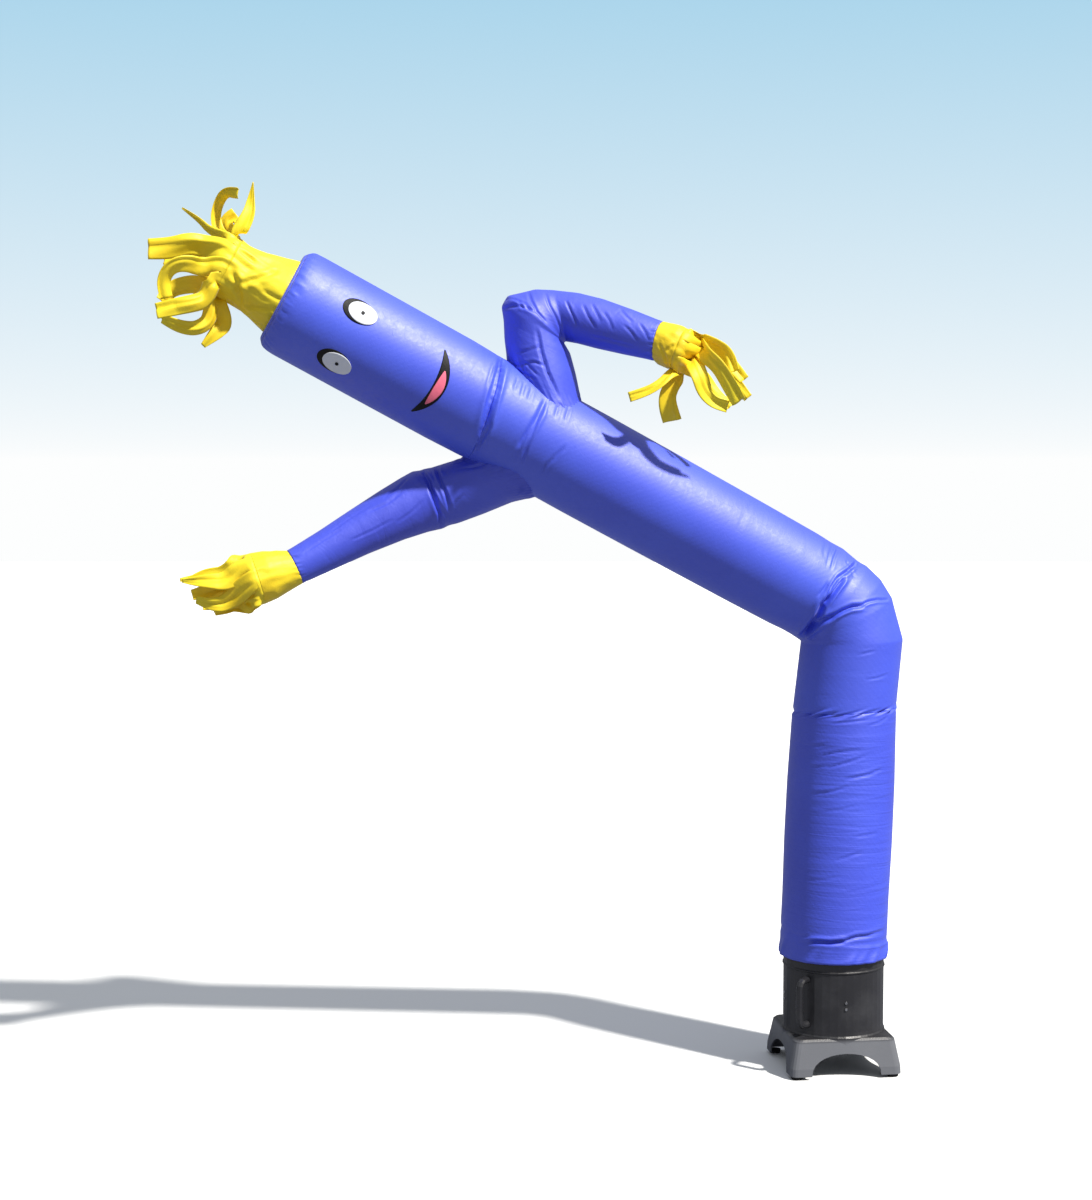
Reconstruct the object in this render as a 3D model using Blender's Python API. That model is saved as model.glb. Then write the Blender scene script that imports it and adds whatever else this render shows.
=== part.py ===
"""An inflatable air dancer on its blower, blown up and leaning over to the left.

Metres, +Z up. The origin is on the floor under the middle of the whole figure.
Inside the model all places are measured from the blower's upright axis: x to the
right, y away from the face, z up from the floor.
"""

import math
from collections import namedtuple

import bmesh
import bpy
from mathutils import Matrix, Vector

# Where the blower's axis stands from the middle of the whole figure
AXIS_X = 0.845
AXIS_Y = 0.130

# Cloth
CLOTH = 0.001
SEAM = 0.0003
BODY_SIDES = 28
ARM_SIDES = 18

# Leg: the cloth tube from the hem on the blower up to the first cross seam
HEM_Z = 0.325
LEG_LEAN = math.radians(2.2)
LEG_STRAIGHT_TO = 0.075
LegSection = namedtuple("LegSection", "along across deep slant pucker")
LEG = (
    LegSection(0.000, 0.3085, 0.3085, 0, 0.0015),
    LegSection(0.022, 0.3047, 0.3047, 0, 0.0),
    LegSection(0.034, 0.3047, 0.3047, 0, 0.0),
    LegSection(0.050, 0.3090, 0.3090, 4, 0.0020),
    LegSection(0.062, 0.3015, 0.3015, 6, 0.0030),
    LegSection(0.075, 0.3050, 0.3050, 4, 0.0015),
    LegSection(0.170, 0.3040, 0.3060, 0, 0.0),
    LegSection(0.330, 0.3080, 0.3040, 0, 0.0010),
    LegSection(0.500, 0.3060, 0.3060, 0, 0.0),
    LegSection(0.640, 0.2980, 0.3080, 0, 0.0010),
    LegSection(0.690, 0.2960, 0.3060, -3, 0.0020),
    LegSection(0.710, 0.2920, 0.3030, -5, 0.0),
)
PUCKERS_ROUND = 9

# Waist: two hard folds that fan out from one inner corner
CORNER_X = -0.102
CORNER_Z = 1.230
CORNER_ROUND = 0.008
CORNER_FACES = math.radians(35)
FoldRing = namedtuple("FoldRing", "rise across deep sink")
FOLDS = (
    FoldRing(2, 0.289, 0.303, 0.0),
    FoldRing(21, 0.282, 0.300, 0.004),
    FoldRing(26, 0.286, 0.300, 0.0),
    FoldRing(38, 0.286, 0.300, 0.0),
    FoldRing(49, 0.283, 0.300, 0.0),
    FoldRing(54, 0.276, 0.300, 0.006),
)

# Upper body: from the waist up to the head's end, rising to the left
RISE = math.radians(28.7)
TOWARD = math.radians(8.7)
UPPER_X = -0.024
UPPER_Z = 1.353
UpperSection = namedtuple("UpperSection", "along across deep slant sink")
CHEST = (
    UpperSection(0.040, 0.284, 0.302, -2, 0.0),
    UpperSection(0.077, 0.283, 0.303, 0, 0.003),
    UpperSection(0.118, 0.288, 0.303, 0, 0.0),
    UpperSection(0.270, 0.292, 0.302, 2, 0.0),
    UpperSection(0.430, 0.294, 0.301, 0, 0.0),
    UpperSection(0.610, 0.296, 0.300, 0, 0.0),
    UpperSection(0.800, 0.297, 0.300, 0, 0.0),
    UpperSection(0.980, 0.296, 0.299, 6, 0.0),
    UpperSection(1.002, 0.296, 0.297, 8, 0.007),
    UpperSection(1.024, 0.296, 0.299, 8, 0.0),
    UpperSection(1.102, 0.296, 0.299, 9, 0.0),
    UpperSection(1.128, 0.295, 0.297, 10, 0.006),
)
HEAD = (
    UpperSection(1.128, 0.295, 0.297, 10, 0.006),
    UpperSection(1.154, 0.296, 0.300, 9, 0.0),
    UpperSection(1.236, 0.297, 0.300, 2, 0.0),
    UpperSection(1.640, 0.297, 0.300, 0, 0.0),
    UpperSection(1.707, 0.296, 0.299, 0, 0.0),
    UpperSection(1.729, 0.291, 0.292, 0, 0.002),
    UpperSection(1.742, 0.278, 0.279, 0, 0.0),
    UpperSection(1.747, 0.266, 0.267, 0, 0.0),
)

# Crown: the round panel that closes the head's end around the hair's sleeve
CROWN_EDGE = 0.264
CROWN_HOLE = 0.2145
CROWN_AT = 1.7485
CROWN_DOME = 0.006

# Hair: a short yellow sleeve, crumpled, with strips cut out of its end
SleeveSection = namedtuple("SleeveSection", "along width crumple")
HAIR_SLEEVE = (
    SleeveSection(1.745, CROWN_HOLE - 2 * SEAM, 0.000),
    SleeveSection(1.756, CROWN_HOLE - 2 * SEAM, 0.000),
    SleeveSection(1.780, 0.202, 0.004),
    SleeveSection(1.825, 0.176, 0.007),
    SleeveSection(1.868, 0.150, 0.007),
    SleeveSection(1.908, 0.146, 0.006),
)
BAND_LENGTH = 0.007
HAIR_ROOTS = 12
Strip = namedtuple("Strip", "root right back up tip_width twist")
HAIR_STRIPS = (
    Strip(0, 0.052, -0.010, 0.230, 0.004, 20),
    Strip(1, -0.010, 0.050, 0.212, 0.016, -80),
    Strip(2, -0.118, 0.085, 0.160, 0.010, 60),
    Strip(3, -0.150, 0.120, 0.055, 0.026, 40),
    Strip(4, -0.130, 0.105, -0.060, 0.030, -30),
    Strip(5, -0.036, 0.060, -0.142, 0.022, 30),
    Strip(6, -0.080, -0.010, -0.163, 0.018, -60),
    Strip(7, -0.186, -0.050, -0.085, 0.022, 90),
    Strip(8, -0.176, -0.100, -0.030, 0.030, -50),
    Strip(9, -0.150, -0.140, 0.035, 0.028, 40),
    Strip(10, -0.196, -0.080, 0.078, 0.034, -25),
    Strip(11, -0.065, -0.085, 0.150, 0.022, 70),
)

# Arms: tapered sleeves sewn over holes in the chest, bent at the elbow
ArmSection = namedtuple("ArmSection", "x z lean across toward")
Elbow = namedtuple("Elbow", "x z round toward")
ElbowFold = namedtuple("ElbowFold", "lean across")
ARM_UP_SHOULDER = (
    ArmSection(-0.800, 1.870, 151, 0.252, 0.130),
    ArmSection(-0.834, 1.960, 151, 0.236, 0.135),
    ArmSection(-0.846, 2.030, 154, 0.220, 0.138),
    ArmSection(-0.855, 2.085, 154, 0.205, 0.140),
)
ARM_UP_ELBOW = Elbow(-0.772, 2.064, 0.009, 0.142)
ARM_UP_FOLDS = (
    ElbowFold(150, 0.200),
    ElbowFold(141, 0.203),
    ElbowFold(131, 0.180),
    ElbowFold(120, 0.166),
    ElbowFold(105, 0.146),
)
ARM_UP_FOREARM = (
    ArmSection(-0.741, 2.135, 90, 0.139, 0.162),
    ArmSection(-0.683, 2.119, 81, 0.136, 0.182),
    ArmSection(-0.604, 2.094, 78, 0.124, 0.212),
    ArmSection(-0.523, 2.068, 77, 0.108, 0.240),
)
ARM_LOW = (
    ArmSection(-0.885, 1.745, 154, 0.262, 0.118),
    ArmSection(-0.960, 1.697, 154, 0.240, 0.122),
    ArmSection(-1.018, 1.682, 150, 0.216, 0.125),
    ArmSection(-1.076, 1.660, 138, 0.193, 0.128),
    ArmSection(-1.122, 1.645, 122, 0.178, 0.130),
    ArmSection(-1.140, 1.640, 117, 0.170, 0.131),
    ArmSection(-1.160, 1.634, 118, 0.182, 0.134),
    ArmSection(-1.197, 1.620, 118, 0.168, 0.143),
    ArmSection(-1.258, 1.592, 118, 0.151, 0.160),
    ArmSection(-1.347, 1.546, 117, 0.130, 0.183),
    ArmSection(-1.432, 1.499, 116, 0.113, 0.207),
    ArmSection(-1.520, 1.452, 116, 0.099, 0.230),
)
ARM_HOLE_SCALE = 0.86

# Hands: yellow cuffs with strips cut out of their ends
Cuff = namedtuple("Cuff", "heading reach_toward wrist")
CUFF_UP = Cuff(-22, 0.25, 0.108)
CUFF_LOW = Cuff(197, 0.18, 0.099)
CuffSection = namedtuple("CuffSection", "along swell crumple")
CUFF_UP_SECTIONS = (
    CuffSection(0.022, 1.12, 0.003),
    CuffSection(0.045, 1.20, 0.005),
    CuffSection(0.062, 1.14, 0.004),
)
CUFF_LOW_SECTIONS = (
    CuffSection(0.035, 1.22, 0.003),
    CuffSection(0.070, 1.42, 0.005),
    CuffSection(0.105, 1.48, 0.005),
)
HAND_ROOTS = 8
HAND_UP_STRIPS = (
    Strip(0, 0.148, 0.010, 0.005, 0.020, 60),
    Strip(1, 0.085, -0.045, 0.062, 0.020, -40),
    Strip(2, 0.188, -0.070, -0.085, 0.034, 30),
    Strip(3, 0.085, -0.070, -0.150, 0.030, -30),
    Strip(4, -0.010, -0.015, -0.180, 0.044, 50),
    Strip(5, -0.125, 0.020, -0.110, 0.018, 90),
    Strip(6, 0.175, 0.050, -0.155, 0.030, 40),
    Strip(7, 0.205, 0.060, -0.050, 0.034, -30),
)
HAND_LOW_STRIPS = (
    Strip(0, -0.095, 0.010, 0.056, 0.020, 20),
    Strip(1, -0.120, 0.050, 0.042, 0.024, -20),
    Strip(2, -0.164, 0.040, 0.016, 0.018, 30),
    Strip(3, -0.130, 0.050, -0.040, 0.030, -20),
    Strip(4, -0.066, 0.015, -0.076, 0.034, 20),
    Strip(5, -0.020, -0.050, -0.086, 0.030, -30),
    Strip(6, -0.112, -0.062, -0.040, 0.030, 20),
    Strip(7, -0.145, -0.045, 0.034, 0.024, -20),
)
STRIP_SHARE = 0.78
STRIP_STEPS = 5

# Face: flat patches that lie on the head's front
PatchPlace = namedtuple("PatchPlace", "along round length width")
EYES = (
    PatchPlace(1.548, 26, 0.096, 0.068),
    PatchPlace(1.545, -35, 0.096, 0.070),
)
EYE_BACK_SHIFT = 0.010
PUPIL = 0.010
EYE_ROWS = 10
PUPIL_ROWS = 4
MOUTH_ALONG = 1.310
MOUTH_SAG = 0.033
MOUTH_FROM = 36
MOUTH_TO = -44
MOUTH_WIDTH = 0.036
LIP_FROM = 14
LIP_TO = -27
LIP_WIDTH = 0.026
MOUTH_ROWS = 14

# Blower
BLOWER_TURN = math.radians(7)
RIM_D = 0.300
DRUM_D = 0.288
DRUM_WALL = 0.004
DRUM_SIDES = 40
BLOWER_HEIGHT = 0.358
RIM_HEIGHT = 0.014
BASE_HEIGHT = 0.112
FOOT_HEIGHT = 0.010
PLATE_SIDE = 0.286
BASE_SIDE = 0.322
BASE_WALL = 0.004
BASE_CORNER = 0.020
ARCH_WIDTH = 0.200
ARCH_HEIGHT = 0.062
FOOT_D = 0.036
FOOT_REACH = 0.196
BEADS_BELOW_TOP = (0.018, 0.060)
BEAD = 0.004
HANDLE_BELOW_TOP = 0.072
HANDLE_TALL = 0.150
HANDLE_OUT = 0.052
HANDLE_THICK = 0.021
GUARD_RINGS = 5
GUARD_WIRE = 0.004
GUARD_SIDES = 24
GUARD_SPOKES = 6
GUARD_D = 0.274
HUB_D = 0.040
MOTOR_D = 0.125
MOTOR_TALL = 0.100
MOTOR_Z = 0.120
ARM_BAR = 0.020
SCREW_D = 0.009
SCREW_HEAD = 0.003
SCREW_APART = 0.0185
SCREW_Z = 0.205

BLUE = (0.045, 0.060, 0.680, 1.0)
YELLOW = (0.900, 0.620, 0.020, 1.0)
BLACK_CLOTH = (0.012, 0.012, 0.014, 1.0)
WHITE_CLOTH = (0.800, 0.820, 0.860, 1.0)
RED_CLOTH = (0.680, 0.040, 0.080, 1.0)
BLACK_PLASTIC = (0.016, 0.016, 0.017, 1.0)
BLACK_RUBBER = (0.010, 0.010, 0.010, 1.0)
STEEL = (0.420, 0.420, 0.430, 1.0)
GREY_PAINT = (0.090, 0.092, 0.096, 1.0)


def clear_scene():
    for thing in list(bpy.data.objects):
        bpy.data.objects.remove(thing, do_unlink=True)


def material(name, colour, roughness, metallic=0.0):
    made = bpy.data.materials.get(name) or bpy.data.materials.new(name)
    made.use_nodes = True
    shader = made.node_tree.nodes["Principled BSDF"]
    shader.inputs["Base Color"].default_value = colour
    shader.inputs["Roughness"].default_value = roughness
    shader.inputs["Metallic"].default_value = metallic
    return made


def add_object(name, bm, parent, surface, smooth=True):
    """Turns the built mesh into a named object with its material."""
    bmesh.ops.recalc_face_normals(bm, faces=bm.faces)
    mesh = bpy.data.meshes.new(name)
    bm.to_mesh(mesh)
    bm.free()
    if smooth:
        mesh.shade_smooth()
        mesh.set_sharp_from_angle(angle=math.radians(35))
    thing = bpy.data.objects.new(name, mesh)
    thing.parent = parent
    if surface:
        mesh.materials.append(surface)
    bpy.context.collection.objects.link(thing)
    return thing


def as_cutter(thing):
    thing.hide_render = True
    thing.display_type = "WIRE"
    return thing


def boolean(target, cutter, operation="DIFFERENCE"):
    modifier = target.modifiers.new(cutter.name, "BOOLEAN")
    modifier.operation = operation
    modifier.object = cutter


# Rings and tubes of cloth


Ring = namedtuple("Ring", "centre across_axis deep_axis across deep lift")


def no_lift(turn):
    return 0.0


def ring_points(ring, sides, grow=0.0, share=1.0):
    """Points round an oval. Turn 0 is on the outer or upper side of the bend."""
    points = []
    for i in range(sides):
        turn = 2 * math.pi * i / sides
        lift = ring.lift(turn) + grow
        out = ring.across_axis * (math.cos(turn) * (ring.across / 2 * share + lift))
        back = ring.deep_axis * (math.sin(turn) * (ring.deep / 2 * share + lift))
        points.append(ring.centre + out + back)
    return points


def skin(bm, loops, close_ends):
    """Joins loops of points with quads, and closes both ends where asked."""
    rows = [[bm.verts.new(p) for p in loop] for loop in loops]
    count = len(rows[0])
    for lower, upper in zip(rows, rows[1:]):
        for i in range(count):
            j = (i + 1) % count
            bm.faces.new((lower[i], lower[j], upper[j], upper[i]))
    if close_ends:
        bm.faces.new(list(reversed(rows[0])))
        bm.faces.new(rows[-1])
    return rows


def cloth_tube(name, rings, sides, parent, surface):
    """An open tube of cloth: an outer skin, and an inner one a cloth's thickness in."""
    bm = bmesh.new()
    outer = skin(bm, [ring_points(ring, sides) for ring in rings], False)
    inner = skin(bm, [ring_points(ring, sides, -CLOTH) for ring in rings], False)
    for end in (0, -1):
        for i in range(sides):
            j = (i + 1) % sides
            bm.faces.new((outer[end][i], outer[end][j], inner[end][j], inner[end][i]))
    return add_object(name, bm, parent, surface)


def solid_tube(name, rings, sides, parent, grow=0.0, share=1.0):
    """A closed plug of a tube's shape, for cutting."""
    bm = bmesh.new()
    skin(bm, [ring_points(ring, sides, grow, share) for ring in rings], True)
    return as_cutter(add_object(name, bm, parent, None, smooth=False))


def pucker(depth, phase):
    """Small even gathers round a ring."""
    if not depth:
        return no_lift
    return lambda turn: -depth * (1 + math.cos(PUCKERS_ROUND * turn + phase)) / 2


def sink(depth, centre, spread):
    """One soft trough that fades out to both sides of its middle."""
    if not depth:
        return no_lift

    def lift(turn):
        away = (turn - centre + math.pi) % (2 * math.pi) - math.pi
        if abs(away) > spread:
            return 0.0
        return -depth * (1 + math.cos(math.pi * away / spread)) / 2

    return lift


# The body


def leg_ring(section, shift=0.0):
    above = max(0.0, section.along - LEG_STRAIGHT_TO)
    x = math.sin(LEG_LEAN) * above
    centre = Vector((x, 0.0, HEM_Z + section.along + shift))
    slant = math.radians(section.slant) + (LEG_LEAN if above else 0.0)
    across_axis = Vector((math.cos(slant), 0.0, -math.sin(slant)))
    lift = pucker(section.pucker, section.along * 40)
    return Ring(centre, across_axis, Vector((0, 1, 0)), section.across, section.deep, lift)


def fold_ring(fold):
    """A ring that fans out from the small round inner corner of the bend."""
    rise = math.radians(fold.rise)
    across_axis = Vector((math.cos(rise), 0.0, math.sin(rise)))
    facing = Vector((math.cos(CORNER_FACES), 0.0, math.sin(CORNER_FACES)))
    pivot = Vector((CORNER_X, 0.0, CORNER_Z)) - facing * CORNER_ROUND
    centre = pivot + across_axis * (CORNER_ROUND + fold.across / 2)
    lift = sink(fold.sink, math.radians(300), math.radians(110))
    return Ring(centre, across_axis, Vector((0, 1, 0)), fold.across, fold.deep, lift)


def upper_axis():
    level = math.cos(TOWARD)
    return Vector((-math.cos(RISE) * level, -math.sin(TOWARD), math.sin(RISE) * level))


def upper_axes(slant=0.0):
    """The outer and the rear direction of a ring of the upper body."""
    lean = RISE - math.radians(slant)
    across_axis = Vector((math.sin(lean), 0.0, math.cos(lean)))
    deep_axis = upper_axis().cross(across_axis).normalized()
    return across_axis, deep_axis


def upper_centre(along):
    return Vector((UPPER_X, 0.0, UPPER_Z)) + upper_axis() * along


def upper_ring(section, shift=0.0):
    across_axis, deep_axis = upper_axes(section.slant)
    lift = sink(section.sink, math.radians(320), math.radians(95))
    centre = upper_centre(section.along + shift)
    return Ring(centre, across_axis, deep_axis, section.across, section.deep, lift)


def chest_rings():
    start = leg_ring(LEG[-1], SEAM)
    rings = [start]
    rings += [fold_ring(fold) for fold in FOLDS]
    rings += [upper_ring(section) for section in CHEST]
    return rings


def head_rings():
    return [upper_ring(HEAD[0], SEAM)] + [upper_ring(section) for section in HEAD[1:]]


def build_crown(parent, surface):
    """A flat ring of cloth that bulges a little under the air's push."""
    across_axis, deep_axis = upper_axes()
    widths = (CROWN_EDGE, (CROWN_EDGE + CROWN_HOLE) / 2, CROWN_HOLE)
    domes = (0.0, CROWN_DOME, CROWN_DOME * 0.6)
    bm = bmesh.new()
    loops = []
    for width, dome in zip(widths, domes):
        centre = upper_centre(CROWN_AT + dome)
        ring = Ring(centre, across_axis, deep_axis, width, width, no_lift)
        loops.append(ring_points(ring, BODY_SIDES))
    under = [[p - upper_axis() * CLOTH for p in loop] for loop in reversed(loops)]
    rows = skin(bm, loops + under, False)
    for i in range(BODY_SIDES):
        j = (i + 1) % BODY_SIDES
        bm.faces.new((rows[-1][i], rows[-1][j], rows[0][j], rows[0][i]))
    return add_object("crown_panel", bm, parent, surface)


# Sleeves and strips


def crumple(depth, waves, phase):
    """Uneven lobes round a crumpled sleeve."""

    def lift(turn):
        big = math.cos(waves * turn + phase)
        small = math.cos((waves + 3) * turn - 2 * phase)
        return -depth * (1.0 - 0.7 * big - 0.3 * small) / 2

    return lift if depth else no_lift


def strip_sections(strip, band, root, side, out, axis, root_width):
    """Centre, side and face directions down one strip, on a smooth curve to its tip."""
    tip = band + Vector((strip.right, strip.back, strip.up))
    reach = (tip - root).length
    control = root + axis * reach * 0.35 + out * reach * 0.12
    sections = []
    for step in range(1, STRIP_STEPS + 1):
        t = step / STRIP_STEPS
        centre = root * (1 - t) ** 2 + control * 2 * t * (1 - t) + tip * t * t
        along = ((control - root) * (1 - t) + (tip - control) * t).normalized()
        side = (side - along * side.dot(along)).normalized()
        side = Matrix.Rotation(math.radians(strip.twist) / STRIP_STEPS, 3, along) @ side
        width = root_width * (1 - t) + strip.tip_width * t
        sections.append((centre, side, side.cross(along), width))
    return sections


def fringe(name, centre, axis, across_axis, deep_axis, width, roots, strips, parent, surface):
    """A narrow band round a sleeve's end, with the strips that are cut out of it."""
    count = 2 * roots
    turns = []
    for i in range(roots):
        middle = 2 * math.pi * i / roots
        half = math.pi / roots * STRIP_SHARE
        turns += [middle - half, middle + half]
    bm = bmesh.new()
    rows = []
    for along, radius in (
        (0.0, width / 2),
        (BAND_LENGTH, width / 2),
        (BAND_LENGTH, width / 2 - CLOTH),
        (0.0, width / 2 - CLOTH),
    ):
        row = []
        for turn in turns:
            out = across_axis * math.cos(turn) + deep_axis * math.sin(turn)
            row.append(bm.verts.new(centre + axis * along + out * radius))
        rows.append(row)
    by_root = {strip.root * 2: strip for strip in strips}
    band = centre + axis * BAND_LENGTH
    for k in range(4):
        lower, upper = rows[k], rows[(k + 1) % 4]
        for i in range(count):
            j = (i + 1) % count
            if k == 1 and i in by_root:
                grow_strip(bm, by_root[i], band, axis, lower[i], lower[j], upper[j], upper[i])
            else:
                bm.faces.new((lower[i], lower[j], upper[j], upper[i]))
    # The strips are twisted, so their sides are made of flat triangles
    bmesh.ops.triangulate(bm, faces=bm.faces)
    return add_object(name, bm, parent, surface, smooth=False)


def grow_strip(bm, strip, band, axis, outer_a, outer_b, inner_b, inner_a):
    """One strip: a flat four-sided bar that leaves the band's end and is closed at its tip."""
    root = (outer_a.co + outer_b.co + inner_a.co + inner_b.co) / 4
    side = (outer_b.co - outer_a.co).normalized()
    out = ((outer_a.co + outer_b.co) / 2 - (inner_a.co + inner_b.co) / 2).normalized()
    root_width = (outer_b.co - outer_a.co).length
    last = (outer_a, outer_b, inner_b, inner_a)
    sections = strip_sections(strip, band, root, side, out, axis, root_width)
    for centre, across, face, width in sections:
        half = across * width / 2
        thick = face * CLOTH / 2
        corners = (centre - half + thick, centre + half + thick)
        corners += (centre + half - thick, centre - half - thick)
        ring = [bm.verts.new(p) for p in corners]
        for i in range(4):
            j = (i + 1) % 4
            bm.faces.new((last[i], last[j], ring[j], ring[i]))
        last = ring
    bm.faces.new(last)


def build_hair(parent, surface):
    across_axis, deep_axis = upper_axes()
    rings = []
    for section in HAIR_SLEEVE:
        lift = crumple(section.crumple, 5, section.along * 25)
        centre = upper_centre(section.along)
        rings.append(Ring(centre, across_axis, deep_axis, section.width, section.width, lift))
    cloth_tube("hair_sleeve", rings, BODY_SIDES, parent, surface)
    last = HAIR_SLEEVE[-1]
    centre = upper_centre(last.along + SEAM)
    width = last.width - last.crumple
    fringe(
        "hair_strips", centre, upper_axis(), across_axis, deep_axis,
        width, HAIR_ROOTS, HAIR_STRIPS, parent, surface,
    )


def build_hand(tag, arm, cuff, sections, strips, parent, surface):
    """A cuff that goes on from the arm's last ring, and the strips beyond it."""
    heading = math.radians(cuff.heading)
    axis = Vector((math.cos(heading), -cuff.reach_toward, math.sin(heading))).normalized()
    across_axis = Vector((0, 1, 0)).cross(axis).normalized()
    if across_axis.z < 0:
        across_axis = -across_axis
    deep_axis = axis.cross(across_axis)
    end = arm_rings(arm)[-1]
    out = end.across_axis.cross(end.deep_axis)
    if out.dot(axis) < 0:
        out = -out
    flip = 1 if end.deep_axis.dot(deep_axis) > 0 else -1
    wrist = end.centre + out * SEAM
    rings = [Ring(wrist, end.across_axis, end.deep_axis * flip, end.across, end.deep, no_lift)]
    for section in sections:
        width = cuff.wrist * section.swell
        lift = crumple(section.crumple, 4, section.along * 60)
        centre = wrist + axis * section.along
        rings.append(Ring(centre, across_axis, deep_axis, width, width, lift))
    cloth_tube(f"hand_cuff_{tag}", rings, ARM_SIDES, parent, surface)
    last = sections[-1]
    centre = wrist + axis * (last.along + SEAM)
    width = cuff.wrist * last.swell - last.crumple
    fringe(
        f"hand_strips_{tag}", centre, axis, across_axis, deep_axis,
        width, HAND_ROOTS, strips, parent, surface,
    )


# Arms


def elbow_sections(elbow, folds):
    """Sections that fan out from an elbow's small round inner corner."""
    sections = []
    for fold in folds:
        lean = math.radians(fold.lean)
        reach = elbow.round + fold.across / 2
        x = elbow.x + math.cos(lean) * reach
        z = elbow.z + math.sin(lean) * reach
        sections.append(ArmSection(x, z, fold.lean, fold.across, elbow.toward))
    return tuple(sections)


def slope_between(first, second):
    """How fast the sleeve comes forward from one section to the next."""
    run = math.hypot(second.x - first.x, second.z - first.z)
    return (second.toward - first.toward) / run


def arm_rings(sections):
    rings = []
    for i, section in enumerate(sections):
        before = sections[max(i - 1, 0)]
        after = sections[min(i + 1, len(sections) - 1)]
        slopes = [slope_between(*pair) for pair in ((before, section), (section, after))
                  if pair[0] is not pair[1]]
        slope = min(slopes, key=abs)
        lean = math.radians(section.lean)
        across_axis = Vector((math.cos(lean), 0.0, math.sin(lean)))
        normal = Vector((math.sin(lean), 0.0, -math.cos(lean)))
        run = Vector((after.x - before.x, 0.0, after.z - before.z))
        if normal.dot(run) < 0:
            normal = -normal
        deep_axis = (Vector((0, 1, 0)) + normal * slope).normalized()
        centre = Vector((section.x, -section.toward, section.z))
        rings.append(Ring(centre, across_axis, deep_axis, section.across, section.across, no_lift))
    return rings


def build_arm(name, sections, chest_plug, chest, parent, surface):
    """A sleeve that starts at the chest's skin, over a hole of its own width."""
    rings = arm_rings(sections)
    sleeve = cloth_tube(name, rings, ARM_SIDES, parent, surface)
    boolean(sleeve, chest_plug)
    hole = solid_tube(f"{name}_hole", rings[:3], ARM_SIDES, parent, share=ARM_HOLE_SCALE)
    boolean(chest, hole)


# Face


def head_point(along, round_degrees, lift):
    """A place on the head's front: 0 faces straight out of it, 90 is its upper side."""
    turn = math.radians(270 + round_degrees)
    plain = HEAD[3]
    across_axis, deep_axis = upper_axes()
    out = across_axis * math.cos(turn) * (plain.across / 2 + lift)
    back = deep_axis * math.sin(turn) * (plain.deep / 2 + lift)
    return upper_centre(along) + out + back


def patch(name, outline, lift, parent, surface):
    """A sheet of cloth with the given outline that follows the head's round front."""
    bm = bmesh.new()
    rows = []
    for height in (lift, lift + CLOTH):
        rows.append([[bm.verts.new(head_point(a, r, height)) for a, r in row] for row in outline])
    for level in rows:
        for low, high in zip(level, level[1:]):
            for i in range(len(low) - 1):
                bm.faces.new((low[i], low[i + 1], high[i + 1], high[i]))
    under, top = rows
    rim_under = patch_rim(under)
    rim_top = patch_rim(top)
    for i in range(len(rim_under)):
        j = (i + 1) % len(rim_under)
        bm.faces.new((rim_under[i], rim_under[j], rim_top[j], rim_top[i]))
    return add_object(name, bm, parent, surface)


def patch_rim(grid):
    """The outer vertices of a grid of rows, in order."""
    left = [row[0] for row in grid[1:-1]]
    right = [row[-1] for row in grid[1:-1]]
    return grid[0] + right + list(reversed(grid[-1])) + list(reversed(left))


def oval_rows(place, length, width, rows, shift=0.0):
    """Rows across an oval patch, from its lower end to its upper end."""
    degrees = math.degrees(2 / HEAD[3].deep)
    grid = []
    for i in range(rows + 1):
        turn = math.pi * (i + 0.5) / (rows + 1)
        half = math.sin(turn) * width / 2
        along = place.along + shift - math.cos(turn) * length / 2
        grid.append([(along, place.round + k * half * degrees) for k in (-1, -0.5, 0, 0.5, 1)])
    return grid


def crescent_rows(start, end, width):
    """Rows across a smile: widest in the middle, bent towards the chest."""
    grid = []
    for i in range(MOUTH_ROWS + 1):
        share = (i + 0.35) / (MOUTH_ROWS + 0.7)
        at = start + (end - start) * share
        whole = (at - MOUTH_FROM) / (MOUTH_TO - MOUTH_FROM)
        middle = MOUTH_ALONG - MOUTH_SAG * (1 - (2 * whole - 1) ** 2)
        half = width / 2 * math.sin(math.pi * share) ** 0.7
        grid.append([(middle - half, at), (middle + half, at)])
    return grid


def build_face(parent, white, black, red):
    layer = CLOTH + SEAM
    for tag, eye in zip(("upper", "lower"), EYES):
        patch(
            f"eye_back_{tag}",
            oval_rows(eye, eye.length, eye.width, EYE_ROWS, EYE_BACK_SHIFT), SEAM, parent, black,
        )
        patch(
            f"eye_white_{tag}",
            oval_rows(eye, eye.length * 0.86, eye.width * 0.88, EYE_ROWS), SEAM + layer, parent, white,
        )
        patch(
            f"eye_pupil_{tag}",
            oval_rows(eye, PUPIL, PUPIL, PUPIL_ROWS), SEAM + 2 * layer, parent, black,
        )
    patch("mouth", crescent_rows(MOUTH_FROM, MOUTH_TO, MOUTH_WIDTH), SEAM, parent, black)
    patch("lip", crescent_rows(LIP_FROM, LIP_TO, LIP_WIDTH), SEAM + layer, parent, red)


# Blower


def turned(profile, sides):
    """Circles round the upright axis, one for each (radius, height) pair."""
    loops = []
    for radius, z in profile:
        turns = [2 * math.pi * i / sides for i in range(sides)]
        loops.append([Vector((radius * math.cos(t), radius * math.sin(t), z)) for t in turns])
    return loops


def lathe(bm, profile, sides):
    """A solid ring from a closed profile of (radius, height) pairs."""
    rows = skin(bm, turned(profile, sides), False)
    for i in range(sides):
        j = (i + 1) % sides
        bm.faces.new((rows[-1][i], rows[-1][j], rows[0][j], rows[0][i]))


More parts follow.
